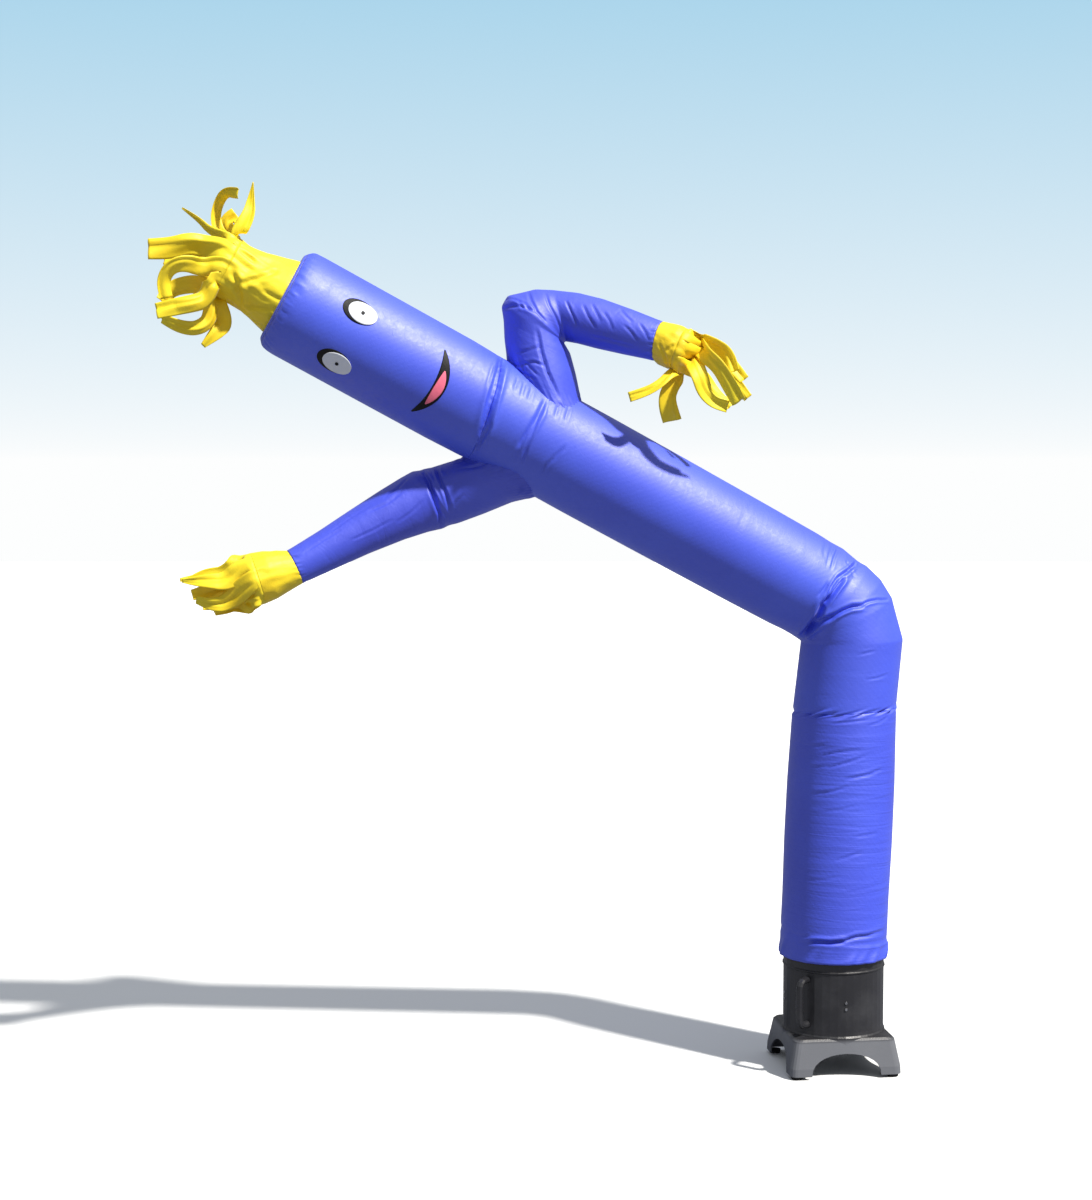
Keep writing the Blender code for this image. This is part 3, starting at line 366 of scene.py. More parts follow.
BODY_SIDES, BODY_EASE = 148, 2
PLAIN_STEP, SHOULDER_STEP, FOLD_STEP = 0.0086, 0.0050, 0.0031
body_rings = [leg_ring(s) for s in LEG] + [fold_ring(f) for f in FOLDS]
body_rings += [upper_ring(s) for s in CHEST + HEAD]
FIRST_FOLD, LAST_FOLD = len(LEG) - 2, len(LEG) + len(FOLDS)
PLAIN_FROM, PLAIN_TO = LAST_FOLD + 2, LAST_FOLD + 6
body_steps = [SHOULDER_STEP] * (len(body_rings) - 1)
body_steps[FIRST_FOLD:LAST_FOLD + 1] = [FOLD_STEP] * (LAST_FOLD + 1 - FIRST_FOLD)
body_steps[PLAIN_FROM:PLAIN_TO] = [PLAIN_STEP] * (PLAIN_TO - PLAIN_FROM)
body_rows, body_marks = fine_rows(body_rings, BODY_SIDES, body_steps, BODY_EASE)
LEG_SEAM = body_marks[len(LEG) - 1]
HEAD_SEAM = body_marks[len(LEG) + len(FOLDS) + len(CHEST) - 1]
print("body rows:", body_rows.shape, "seams at rows", LEG_SEAM, HEAD_SEAM)

# %% [markdown]
# Arms are tapered sleeves. Their rings lie in a plane across the picture, each with its own
# lean, and come forward towards the hands. At the raised arm's elbow the rings fan out from
# one tight inner corner, as the waist's do.

# %% The arms' rings
ArmSection = namedtuple("ArmSection", "x z lean across toward")
ARM_UP_ELBOW_X, ARM_UP_ELBOW_Z, ARM_UP_ELBOW_ROUND, ARM_UP_ELBOW_TOWARD = -0.772, 2.064, 0.009, 0.142
ElbowFold = namedtuple("ElbowFold", "lean across")
ARM_UP_SHOULDER = (
    ArmSection(-0.800, 1.870, 151, 0.252, 0.130),
    ArmSection(-0.834, 1.960, 151, 0.236, 0.135),
    ArmSection(-0.846, 2.030, 154, 0.220, 0.138),
    ArmSection(-0.855, 2.085, 154, 0.205, 0.140),
)
ARM_UP_FOLDS = (
    ElbowFold(150, 0.200),
    ElbowFold(141, 0.203),
    ElbowFold(131, 0.180),
    ElbowFold(120, 0.166),
    ElbowFold(105, 0.146),
)
ARM_UP_FOREARM = (
    ArmSection(-0.741, 2.135, 90, 0.139, 0.162),
    ArmSection(-0.683, 2.119, 81, 0.136, 0.182),
    ArmSection(-0.604, 2.094, 78, 0.124, 0.212),
    ArmSection(-0.523, 2.068, 77, 0.108, 0.240),
)
ARM_LOW = (
    ArmSection(-0.885, 1.745, 154, 0.262, 0.118),
    ArmSection(-0.960, 1.697, 154, 0.240, 0.122),
    ArmSection(-1.018, 1.682, 150, 0.216, 0.125),
    ArmSection(-1.076, 1.660, 138, 0.193, 0.128),
    ArmSection(-1.122, 1.645, 122, 0.178, 0.130),
    ArmSection(-1.140, 1.640, 117, 0.172, 0.131),
    ArmSection(-1.160, 1.634, 118, 0.180, 0.134),
    ArmSection(-1.197, 1.620, 118, 0.168, 0.143),
    ArmSection(-1.258, 1.592, 118, 0.151, 0.160),
    ArmSection(-1.347, 1.546, 117, 0.130, 0.183),
    ArmSection(-1.432, 1.499, 116, 0.113, 0.207),
    ArmSection(-1.520, 1.452, 116, 0.099, 0.230),
)


def elbow_section(fold):
    lean = math.radians(fold.lean)
    reach = ARM_UP_ELBOW_ROUND + fold.across / 2
    return ArmSection(ARM_UP_ELBOW_X + math.cos(lean) * reach, ARM_UP_ELBOW_Z + math.sin(lean) * reach,
                      fold.lean, fold.across, ARM_UP_ELBOW_TOWARD)


def arm_rings(sections):
    rings = []
    for i, section in enumerate(sections):
        near = sections[max(i - 1, 0):i + 2]
        slopes = [(b.toward - a.toward) / math.hypot(b.x - a.x, b.z - a.z) for a, b in zip(near, near[1:])]
        slope = min(slopes, key=abs)
        lean = math.radians(section.lean)
        normal = np.array((math.sin(lean), 0.0, -math.cos(lean)))
        run = np.array((near[-1].x - near[0].x, 0.0, near[-1].z - near[0].z))
        if normal @ run < 0:
            normal = -normal
        deep_axis = np.array((0, 1, 0)) + normal * slope
        deep_axis /= np.linalg.norm(deep_axis)
        across_axis = (math.cos(lean), 0.0, math.sin(lean))
        centre = (section.x, -section.toward, section.z)
        rings.append(Ring(centre, across_axis, deep_axis, section.across, section.across))
    return rings


ARM_SIDES, ARM_STEP, ARM_EASE = 112, 0.0045, 2
arm_up = ARM_UP_SHOULDER + tuple(elbow_section(f) for f in ARM_UP_FOLDS) + ARM_UP_FOREARM
arm_up_rows, arm_up_marks = fine_rows(arm_rings(arm_up), ARM_SIDES, [ARM_STEP] * len(arm_up), ARM_EASE)
arm_low_rows, arm_low_marks = fine_rows(arm_rings(ARM_LOW), ARM_SIDES, [ARM_STEP] * len(ARM_LOW), ARM_EASE)
REACH_IN_ROWS = 12


def reach_in(rows, sections):
    """A few more rows behind a sleeve's first ring, so that it always ends inside the chest."""
    start, onward = (np.array(ring.centre) for ring in arm_rings(sections)[:2])
    back = (start - onward) / np.linalg.norm(onward - start) * ARM_STEP
    more = [rows[0] + back * k for k in range(REACH_IN_ROWS, 0, -1)]
    return np.concatenate((more, rows))


arm_up_rows, arm_low_rows = reach_in(arm_up_rows, arm_up), reach_in(arm_low_rows, ARM_LOW)
print("arm rows:", arm_up_rows.shape, arm_low_rows.shape)

# %% [markdown]
# A crease is a trough with a low ridge on each side. Each is listed by the pixels that it
# runs through in the photograph, on the front of the cloth or, for the side that no one
# sees there, on its back. A ray through each pixel finds the place on the tube, and every
# point of the cloth near that line is then pressed in or lifted along its own normal.

# %% Pressing creases into the cloth
Crease = namedtuple("Crease", "side wide deep lean path")
CREASE_STEP_PIXELS = 6.0
FAR_SIDE = 14.0


def surface_tree(rows):
    """A search tree over a tube's faces."""
    count, sides = rows.shape[:2]
    index = np.arange(count * sides).reshape(count, sides)
    beside = np.roll(index, -1, axis=1)
    quads = np.stack((index[:-1], beside[:-1], beside[1:], index[1:]), axis=-1).reshape(-1, 4)
    return BVHTree.FromPolygons(rows.reshape(-1, 3).tolist(), quads.tolist())


def on_cloth(tree, side, x, y):
    """The place on the cloth that shows at a pixel, or right behind it on the far side."""
    ray = sight_line(x, y)
    if side == "front":
        hit = tree.ray_cast(CAMERA_AT, ray)[0]
    else:
        hit = tree.ray_cast(CAMERA_AT + ray * FAR_SIDE, -ray)[0]
    return hit


def crease_line(tree, crease):
    """Points every few pixels along a crease, on the cloth."""
    points = []
    for (ax, ay), (bx, by) in zip(crease.path, crease.path[1:]):
        count = max(1, round(math.hypot(bx - ax, by - ay) / CREASE_STEP_PIXELS))
        for i in range(count):
            share = i / count
            points.append(on_cloth(tree, crease.side, ax + (bx - ax) * share, ay + (by - ay) * share))
    points.append(on_cloth(tree, crease.side, *crease.path[-1]))
    return np.array([p for p in points if p is not None], dtype=float).reshape(-1, 3)


def press(rows, normals, line, crease):
    """How far each point moves for one crease."""
    flat = rows.reshape(-1, 3)
    ahead = normals.reshape(-1, 3)
    move = np.zeros(len(flat))
    if len(line) < 2:
        print("a crease misses the cloth:", crease.path[0])
        return move.reshape(rows.shape[:2])
    reach = crease.wide * 4
    low, high = line.min(axis=0) - reach, line.max(axis=0) + reach
    near = np.nonzero(((flat > low) & (flat < high)).all(axis=1))[0]
    points = flat[near]
    best = np.full(len(near), 1e9)
    signed = np.zeros(len(near))
    share = np.zeros(len(near))
    run = np.concatenate(([0], np.cumsum(np.linalg.norm(np.diff(line, axis=0), axis=1))))
    for i in range(len(line) - 1):
        step = line[i + 1] - line[i]
        length = max(np.linalg.norm(step), 1e-9)
        t = np.clip((points - line[i]) @ step / length ** 2, 0, 1)
        off = points - (line[i] + t[:, None] * step)
        away = np.linalg.norm(off, axis=1)
        side = np.sign((np.cross(ahead[near], step / length) * off).sum(axis=1))
        closer = away < best
        best = np.where(closer, away, best)
        signed = np.where(closer, away * side, signed)
        share = np.where(closer, (run[i] + t * length) / run[-1], share)
    fade = np.clip(share / 0.22, 0, 1) * np.clip((1 - share) / 0.22, 0, 1)
    fade = 0.12 + 0.88 * np.sqrt(fade)
    s = signed / crease.wide
    trough = -np.exp(-s ** 2)
    left = (0.36 + 0.30 * crease.lean) * np.exp(-((s - 1.75) / 1.1) ** 2)
    right = (0.36 - 0.30 * crease.lean) * np.exp(-((s + 1.75) / 1.1) ** 2)
    move[near] = crease.deep * (trough + left + right) * fade * np.exp(-(best / reach) ** 6)
    return move.reshape(rows.shape[:2])


def crease_all(rows, creases):
    """The tube with all of its creases pressed in."""
    tree = surface_tree(rows)
    normals = outward(rows)
    move = sum(press(rows, normals, crease_line(tree, c), c) for c in creases)
    return rows + normals * move[..., None]


print("a crease reaches", 4, "times its width")


# %% [markdown]
# The hard folds of the waist come first. The upper one is a deep gash that splits in two half
# way up, the lower one is wavy and has a light facet under it. Both run out of the inner
# corner, where the cloth is pinched shut.

# %% Folds of the waist, shoulder and leg
WAIST_CREASES = (
    Crease("front", 0.0085, 0.019, 0.3, ((797, 640), (807, 630), (818, 616), (823, 605), (830, 597))),
    Crease("front", 0.0048, 0.010, 0.6, ((826, 600), (832, 587), (838, 578), (848, 571), (856, 563))),
    Crease("front", 0.0050, 0.012, -0.4, ((826, 603), (831, 597), (838, 587), (845, 578))),
    Crease("front", 0.0080, 0.014, -0.2, ((797, 640), (812, 628), (823, 620), (834, 616))),
    Crease("front", 0.0055, 0.010, -0.6, ((830, 618), (842, 611), (852, 607), (864, 606))),
    Crease("front", 0.0036, 0.006, -0.6, ((862, 605), (868, 602), (877, 600), (888, 600))),
    Crease("front", 0.0042, 0.004, 0.2, ((848, 563), (854, 567), (860, 565))),
    Crease("front", 0.0040, 0.004, -0.2, ((846, 561), (852, 572), (855, 577))),
    Crease("front", 0.0040, 0.003, 0.0, ((818, 596), (824, 589), (828, 583))),
    Crease("front", 0.0042, 0.003, 0.3, ((833, 546), (829, 556), (827, 566))),
    Crease("front", 0.0040, 0.003, -0.3, ((838, 549), (834, 558), (831, 569))),
    Crease("front", 0.0038, 0.002, 0.0, ((826, 542), (824, 552), (825, 560))),
    Crease("back", 0.0085, 0.017, 0.2, ((797, 640), (810, 622), (822, 606), (836, 588), (850, 568))),
    Crease("back", 0.0070, 0.013, -0.4, ((797, 640), (818, 628), (840, 616), (862, 608), (884, 601))),
    Crease("back", 0.0045, 0.005, 0.3, ((836, 556), (846, 570), (848, 580))),
)
SHOULDER_CREASES = (
    Crease("front", 0.0095, 0.0135, 0.2, ((502, 360), (497, 381), (491, 402), (486, 423), (479, 441))),
    Crease("front", 0.0038, 0.0050, 0.4, ((498, 368), (493, 384), (487, 403), (482, 424))),
    Crease("front", 0.0036, 0.0045, -0.3, ((502, 372), (499, 390), (495, 408), (489, 428))),
    Crease("front", 0.0036, 0.0040, 0.1, ((499, 390), (494, 403), (489, 416))),
    Crease("front", 0.0048, 0.0070, 0.2, ((492, 424), (486, 434), (479, 445), (474, 450))),
    Crease("front", 0.0038, 0.0035, 0.0, ((495, 366), (491, 378), (488, 388))),
    Crease("front", 0.0068, 0.0085, 0.3, ((546, 400), (538, 416), (529, 431), (519, 446))),
    Crease("front", 0.0042, 0.0055, -0.3, ((541, 412), (534, 430), (527, 446), (521, 464))),
    Crease("front", 0.0040, 0.0034, 0.0, ((522, 442), (517, 452), (514, 462))),
    Crease("front", 0.0042, 0.0048, 0.2, ((565, 447), (554, 458), (546, 466), (540, 473))),
    Crease("front", 0.0036, 0.0026, -0.2, ((560, 455), (551, 466), (546, 474))),
    Crease("front", 0.0046, 0.0016, 0.0, ((752, 500), (745, 515), (737, 531))),
    Crease("front", 0.0038, 0.0036, 0.0, ((518, 378), (514, 390))),
    Crease("front", 0.0038, 0.0042, 0.0, ((525, 383), (521, 396))),
    Crease("front", 0.0038, 0.0036, 0.0, ((532, 388), (528, 400))),
    Crease("front", 0.0038, 0.0034, 0.0, ((551, 399), (547, 413))),
    Crease("front", 0.0038, 0.0040, 0.0, ((559, 404), (555, 417))),
    Crease("front", 0.0038, 0.0040, 0.0, ((569, 407), (565, 420))),
    Crease("back", 0.0060, 0.0080, 0.3, ((504, 364), (494, 388), (484, 415), (475, 440))),
    Crease("back", 0.0048, 0.0050, 0.0, ((548, 402), (536, 428), (524, 456))),
    Crease("back", 0.0042, 0.0030, 0.0, ((700, 470), (690, 500), (676, 540))),
    Crease("back", 0.0042, 0.0030, 0.2, ((620, 430), (606, 462), (596, 500))),
    Crease("back", 0.0040, 0.0026, 0.0, ((400, 320), (388, 345), (372, 380))),
)
LEG_CREASES = (
    Crease("front", 0.0052, 0.0055, 0.7, ((798, 943), (806, 943), (818, 941), (832, 942), (845, 941), (856, 937),
                                        (867, 936), (883, 931))),
    Crease("front", 0.0036, 0.0026, 0.5, ((822, 755), (840, 752), (860, 750))),
    Crease("front", 0.0036, 0.0028, 0.5, ((826, 768), (846, 763), (866, 756))),
    Crease("front", 0.0040, 0.0036, 0.6, ((846, 779), (858, 777), (870, 774), (882, 769))),
    Crease("front", 0.0036, 0.0028, 0.5, ((812, 793), (830, 792), (848, 787))),
    Crease("front", 0.0034, 0.0022, 0.5, ((855, 837), (867, 835), (878, 833))),
    Crease("front", 0.0034, 0.0024, 0.5, ((836, 860), (848, 857), (862, 852))),
    Crease("front", 0.0034, 0.0018, 0.5, ((805, 766), (818, 767), (830, 765))),
    Crease("front", 0.0034, 0.0018, 0.3, ((800, 745), (815, 746), (829, 744))),
    Crease("front", 0.0032, 0.0016, 0.4, ((830, 724), (850, 722), (868, 720))),
    Crease("front", 0.0032, 0.0018, 0.4, ((868, 726), (880, 722), (889, 716))),
    Crease("front", 0.0032, 0.0016, 0.3, ((820, 812), (838, 810), (856, 806))),
    Crease("front", 0.0032, 0.0014, 0.3, ((808, 880), (824, 880), (842, 876))),
    Crease("front", 0.0032, 0.0014, 0.3, ((846, 893), (860, 890), (874, 888))),
    Crease("front", 0.0036, 0.0012, 0.3, ((859, 655), (867, 653), (875, 651))),
    Crease("front", 0.0036, 0.0012, 0.3, ((866, 680), (878, 678), (888, 674))),
    Crease("back", 0.0052, 0.0055, 0.6, ((782, 938), (800, 941), (830, 943), (860, 939), (880, 933))),
    Crease("back", 0.0038, 0.0030, 0.5, ((800, 742), (824, 746), (850, 742))),
    Crease("back", 0.0038, 0.0028, 0.5, ((812, 790), (836, 793), (868, 788))),
    Crease("back", 0.0036, 0.0024, 0.5, ((806, 838), (832, 840), (858, 836))),
    Crease("back", 0.0036, 0.0024, 0.5, ((824, 884), (850, 886), (872, 880))),
)
body_rows = crease_all(body_rows, WAIST_CREASES + SHOULDER_CREASES + LEG_CREASES)
print("body creases:", len(WAIST_CREASES + SHOULDER_CREASES + LEG_CREASES))

# %% [markdown]
# Wherever two pieces of thin cloth are sewn together the thread draws them up a little. Air
# then blows the cloth out between the stitches' tucks, which gives a row of short slanted
# puckers. A seam has its own number of puckers, their length and slant. A fixed seed spreads
# them unevenly in the same way on each run.

# %% Puckers along the seams


def pucker(rows, seam, count, reach, deep, slant, seed, thick=0.010, blown=False, along=None):
    """Short troughs that cross one ring of a tube, or ridges where the cloth is blown out."""
    normals = outward(rows)
    if along is None:
        steps = np.linalg.norm(np.diff(rows, axis=0), axis=2)
        along = np.concatenate((np.zeros((1, rows.shape[1])), np.cumsum(steps, axis=0)))
        along = along - along[seam]
    beside = np.linalg.norm(np.roll(rows[seam], -1, axis=0) - rows[seam], axis=1)
    around = np.concatenate(([0], np.cumsum(beside)))
    whole = around[-1]
    draw = np.random.default_rng(seed)
    move = np.zeros(rows.shape[:2])
    for k in range(count):
        middle = (k + draw.uniform(-0.3, 0.3)) / count * whole
        wide = thick * draw.uniform(0.55, 0.9)
        length = reach * draw.uniform(0.5, 1.15)
        depth = deep * draw.uniform(0.45, 1.2)
        shift = draw.uniform(-0.25, 0.25) * reach
        off = (around[:-1] - middle + whole / 2) % whole - whole / 2
        s = (off[None, :] - slant * (along - shift)) / wide
        fade = np.exp(-(((along - shift) / length) ** 2))
        shape = np.exp(-s ** 2) - 0.55 * np.exp(-((s - 1.7) ** 2))
        move += depth * (np.maximum(shape, 0) if blown else -shape) * fade
    return rows + normals * move[..., None]


def seam_fold(rows, seam, wide, high):
    """The seam itself: the turned and stitched edges stand up as a narrow band."""
    normals = outward(rows)
    steps = np.linalg.norm(np.diff(rows, axis=0), axis=2)
    along = np.concatenate((np.zeros((1, rows.shape[1])), np.cumsum(steps, axis=0)))
    away = np.abs(along - along[seam]) / wide
    return rows + normals * (high * np.exp(-away ** 4))[..., None]




def clear_of_collar(rows):
    """The hem lies on the blower's collar, so no trough may reach into that."""
    low, high = (np.array(corner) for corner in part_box("rim_collar"))
    middle = (low + high) / 2
    room = (high[0] - low[0]) / 2 + 0.0014
    away = rows[..., :2] - middle[:2]
    far = np.linalg.norm(away, axis=2)
    short = (rows[..., 2] < high[2] + 0.004) & (far < room)
    print("points held off the collar:", int(short.sum()), "collar radius", round(room - 0.0014, 4))
    rows[..., :2] = np.where(short[..., None], middle[:2] + away / far[..., None] * room, rows[..., :2])
    return rows


body_rows = pucker(body_rows, LEG_SEAM, 32, 0.011, 0.0064, 2.8, 11, thick=0.022)
body_rows = pucker(body_rows, HEAD_SEAM, 46, 0.012, 0.0022, 0.4, 12, thick=0.007)
body_rows = pucker(body_rows, 3, 17, 0.030, 0.0058, 0.7, 13, thick=0.021, blown=True)
body_rows = clear_of_collar(body_rows)
END_RIM = len(body_rows) - 5
body_rows = pucker(body_rows, END_RIM, 60, 0.016, 0.0034, 0.2, 14, thick=0.0065)
body_rows = seam_fold(body_rows, HEAD_SEAM, 0.006, 0.0008)
print("puckered seams at rows", LEG_SEAM, HEAD_SEAM, END_RIM)

# %% [markdown]
# A piece of cloth becomes a mesh in two steps: its outer skin with a UV map in metres of
# cloth, and a Solidify modifier that gives it its wall towards the inside. The wall is 1 mm,
# as in the CAD model, where the real cloth is a tenth of that.

# %% From rows of points to a piece of cloth
CLOTH = 0.001


def deselect():
    bpy.ops.object.select_all(action="DESELECT")


def only(thing):
    """Selects one object and makes it the active one."""
    deselect()
    thing.select_set(True)
    bpy.context.view_layer.objects.active = thing


def thicken(thing, thickness=CLOTH):
    """Gives a skin its wall, inwards."""
    wall = thing.modifiers.new("wall", "SOLIDIFY")
    wall.thickness = thickness
    wall.offset = -1.0
    only(thing)
    bpy.ops.object.modifier_apply(modifier=wall.name)


def cloth_mesh(name, rows, closed, material, replaced, keep=None, facing=None, thickness=CLOTH):
    """One sheet from a grid of points. A closed grid is a tube."""
    count, sides = rows.shape[:2]
    steps = np.linalg.norm(np.diff(rows, axis=0), axis=2).mean(axis=1)
    along = np.concatenate(([0], np.cumsum(steps)))
    ring = np.concatenate((rows, rows[:, :1]), axis=1) if closed else rows
    beside = np.linalg.norm(np.diff(ring, axis=1), axis=2).mean(axis=0)
    around = np.concatenate(([0], np.cumsum(beside)))
    mesh_maker = bmesh.new()
    cloth_map = mesh_maker.loops.layers.uv.new(CLOTH_MAP)
    points = [[mesh_maker.verts.new(p) for p in row] for row in rows]
    for r in range(count - 1):
        for c in range(sides if closed else sides - 1):
            d = (c + 1) % sides
            if keep is not None and not (keep[r, c] and keep[r + 1, c] and keep[r, d] and keep[r + 1, d]):
                continue
            face = mesh_maker.faces.new((points[r][c], points[r][d], points[r + 1][d], points[r + 1][c]))
            face.smooth = True
            places = ((r, c), (r, c + 1), (r + 1, c + 1), (r + 1, c))
            for loop, (row, column) in zip(face.loops, places):
                loop[cloth_map].uv = (around[column], along[row])
    loose = [v for v in mesh_maker.verts if not v.link_faces]
    bmesh.ops.delete(mesh_maker, geom=loose, context="VERTS")
    mesh_maker.normal_update()
    outside = 0.0
    for face in mesh_maker.faces:
        ring_middle = Vector(rows[round(face.loops[0][cloth_map].uv.y / along[-1] * (count - 1))].mean(axis=0))
        outside += face.normal.dot(Vector(facing) if facing is not None else face.calc_center_median() - ring_middle)
    if outside < 0:
        bmesh.ops.reverse_faces(mesh_maker, faces=mesh_maker.faces)
    mesh = bpy.data.meshes.new(name)
    mesh_maker.to_mesh(mesh)
    mesh_maker.free()
    mesh.materials.append(material)
    thing = bpy.data.objects.new(name, mesh)
    bpy.context.scene.collection.objects.link(thing)
    thicken(thing, thickness)
    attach(thing, "root")
    if replaced:
        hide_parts(*replaced)
    print(name, "faces", len(mesh.polygons), "cloth", round(around[-1], 3), "by", round(along[-1], 3))
    return thing, around[-1], along[-1]


# %% [markdown]
# The arms are sewn over two holes in the chest. Inside an arm's mouth the chest has no cloth,
# and inside the chest the sleeve has none. Points are sorted by how far they lie from the
# other tube's middle line, so that both pieces end just under the seam.

# %% Where arms and chest meet


def from_line(points, start, end):
    """Distance of points from a straight line, and how far along it they lie, from 0 to 1."""
    run = end - start
    share = (points - start) @ run / (run @ run)
    return np.linalg.norm(points - (start + share[..., None] * run), axis=-1), share


def inside_arm(points, rings, share_of_width, first=0, last=2):
    """Points inside a sleeve's slanted oval, counted along the sleeve's own direction."""
    ring, far = rings[first], rings[last]
    run = np.array(far.centre) - np.array(ring.centre)
    frame_of_arm = np.column_stack((ring.across_axis, ring.deep_axis, run))
    local = (points - AXIS - np.array(ring.centre)) @ np.linalg.inv(frame_of_arm).T
    width = ring.across + (far.across - ring.across) * np.clip(local[..., 2], -0.6, 1)
    away = np.hypot(local[..., 0], local[..., 1])
    return (away < width / 2 * share_of_width) & (local[..., 2] > -0.5) & (local[..., 2] < 1.0)


chest_start, chest_end = upper_centre(0.3) + AXIS, upper_centre(1.5) + AXIS
ARM_UNDER_SKIN, ARM_SEAM, HOLE_SHARE = 0.141, 0.1505, 0.84
arm_keep, from_chest = {}, {}
for name, rows in (("upper", arm_up_rows), ("lower", arm_low_rows)):
    away, _ = from_line(rows, chest_start, chest_end)
    arm_keep[name] = away > ARM_UNDER_SKIN
    from_chest[name] = away - ARM_SEAM
body_keep = np.ones(body_rows.shape[:2], dtype=bool)
for sections in (arm_up, ARM_LOW):
    body_keep &= ~inside_arm(body_rows, arm_rings(sections), HOLE_SHARE)
print("points cut from the chest for the arms:", int((~body_keep).sum()))

# %% [markdown]
# The sleeves have their own folds. The raised arm is creased where it bends, and a long
# crease divides its shaded side from its lit one. The lower arm has two deep folds at its
# elbow, and both are puckered all round where they are sewn to the chest.

# %% Folds of the arms
ARM_UP_CREASES = (
    Crease("front", 0.0050, 0.0060, 0.5, ((537, 330), (541, 352), (547, 371), (555, 389), (560, 400))),
    Crease("front", 0.0046, 0.0050, 0.2, ((503, 309), (512, 306), (522, 306), (536, 312))),
    Crease("front", 0.0040, 0.0044, -0.3, ((506, 300), (514, 299), (524, 303), (530, 310))),
    Crease("front", 0.0040, 0.0040, 0.2, ((515, 293), (518, 301), (524, 309))),
    Crease("front", 0.0040, 0.0040, 0.0, ((528, 292), (531, 301), (537, 312), (546, 322))),
    Crease("front", 0.0040, 0.0030, 0.3, ((545, 293), (549, 305), (556, 318), (563, 335))),
    Crease("front", 0.0036, 0.0030, 0.3, ((518, 353), (530, 350), (541, 346))),
    Crease("front", 0.0036, 0.0036, 0.4, ((512, 366), (524, 364), (534, 362), (543, 365))),
    Crease("front", 0.0036, 0.0034, -0.3, ((513, 368), (524, 374), (535, 379))),
    Crease("front", 0.0034, 0.0026, 0.0, ((523, 361), (530, 367), (538, 376))),
    Crease("front", 0.0036, 0.0030, 0.5, ((566, 301), (571, 312), (578, 326))),
    Crease("front", 0.0036, 0.0034, 0.5, ((583, 305), (588, 316), (596, 328))),
    Crease("front", 0.0034, 0.0030, 0.5, ((592, 304), (597, 314), (601, 322))),
    Crease("front", 0.0034, 0.0026, 0.5, ((604, 312), (609, 320), (613, 330))),
    Crease("front", 0.0034, 0.0028, 0.5, ((620, 309), (626, 316), (632, 322))),
    Crease("front", 0.0034, 0.0028, 0.5, ((624, 325), (631, 332), (638, 341))),
    Crease("front", 0.0034, 0.0026, 0.5, ((640, 324), (645, 332), (649, 341))),
    Crease("front", 0.0040, 0.0022, 0.2, ((590, 336), (612, 341), (634, 347))),
    Crease("back", 0.0050, 0.0060, 0.3, ((506, 312), (522, 306), (540, 318), (560, 338))),
    Crease("back", 0.0044, 0.0040, 0.0, ((520, 296), (530, 306), (546, 318))),
    Crease("back", 0.0040, 0.0034, 0.0, ((516, 350), (534, 352), (556, 360))),
    Crease("back", 0.0038, 0.0026, 0.0, ((590, 312), (612, 322), (640, 336))),
)
ARM_LOW_CREASES = (
    Crease("front", 0.0056, 0.0090, 0.4, ((420, 468), (429, 482), (434, 498), (440, 514), (441, 527))),
    Crease("front", 0.0048, 0.0070, -0.3, ((436, 467), (441, 482), (446, 495), (451, 512))),
    Crease("front", 0.0036, 0.0034, 0.0, ((428, 484), (436, 496), (446, 516))),
    Crease("front", 0.0034, 0.0028, 0.2, ((452, 508), (458, 500), (464, 494))),
    Crease("front", 0.0038, 0.0030, 0.2, ((408, 478), (398, 488), (384, 497))),
    Crease("front", 0.0036, 0.0026, 0.2, ((402, 492), (388, 503), (370, 511))),
    Crease("front", 0.0036, 0.0022, 0.0, ((424, 500), (412, 512), (398, 522))),
    Crease("front", 0.0034, 0.0020, 0.0, ((370, 506), (350, 518), (330, 532))),
    Crease("front", 0.0034, 0.0020, 0.1, ((392, 520), (374, 530), (352, 540))),
    Crease("front", 0.0032, 0.0018, 0.1, ((340, 530), (322, 541), (304, 553))),
    Crease("back", 0.0056, 0.0080, 0.2, ((420, 470), (430, 490), (440, 514))),
    Crease("back", 0.0044, 0.0050, 0.0, ((438, 470), (446, 492), (450, 508))),
    Crease("back", 0.0038, 0.0030, 0.0, ((400, 484), (376, 500), (350, 520))),
)
arm_up_rows = crease_all(arm_up_rows, ARM_UP_CREASES)
arm_low_rows = crease_all(arm_low_rows, ARM_LOW_CREASES)
arm_up_rows = pucker(arm_up_rows, REACH_IN_ROWS, 44, 0.018, 0.0036, 0.5, 23, thick=0.0075, along=from_chest["upper"])
arm_low_rows = pucker(arm_low_rows, REACH_IN_ROWS, 52, 0.028, 0.0042, 0.4, 24, thick=0.0070, along=from_chest["lower"])
arm_up_rows = pucker(arm_up_rows, len(arm_up_rows) - 2, 26, 0.012, 0.0022, 0.3, 21, thick=0.006)
arm_low_rows = pucker(arm_low_rows, len(arm_low_rows) - 2, 26, 0.012, 0.0022, 0.3, 22, thick=0.006)
print("arm creases:", len(ARM_UP_CREASES) + len(ARM_LOW_CREASES))

# %% [markdown]
# Now the blue pieces are made: three panels of the body, cut where the seams are, and the
# two sleeves. Each replaces its plain CAD solid.

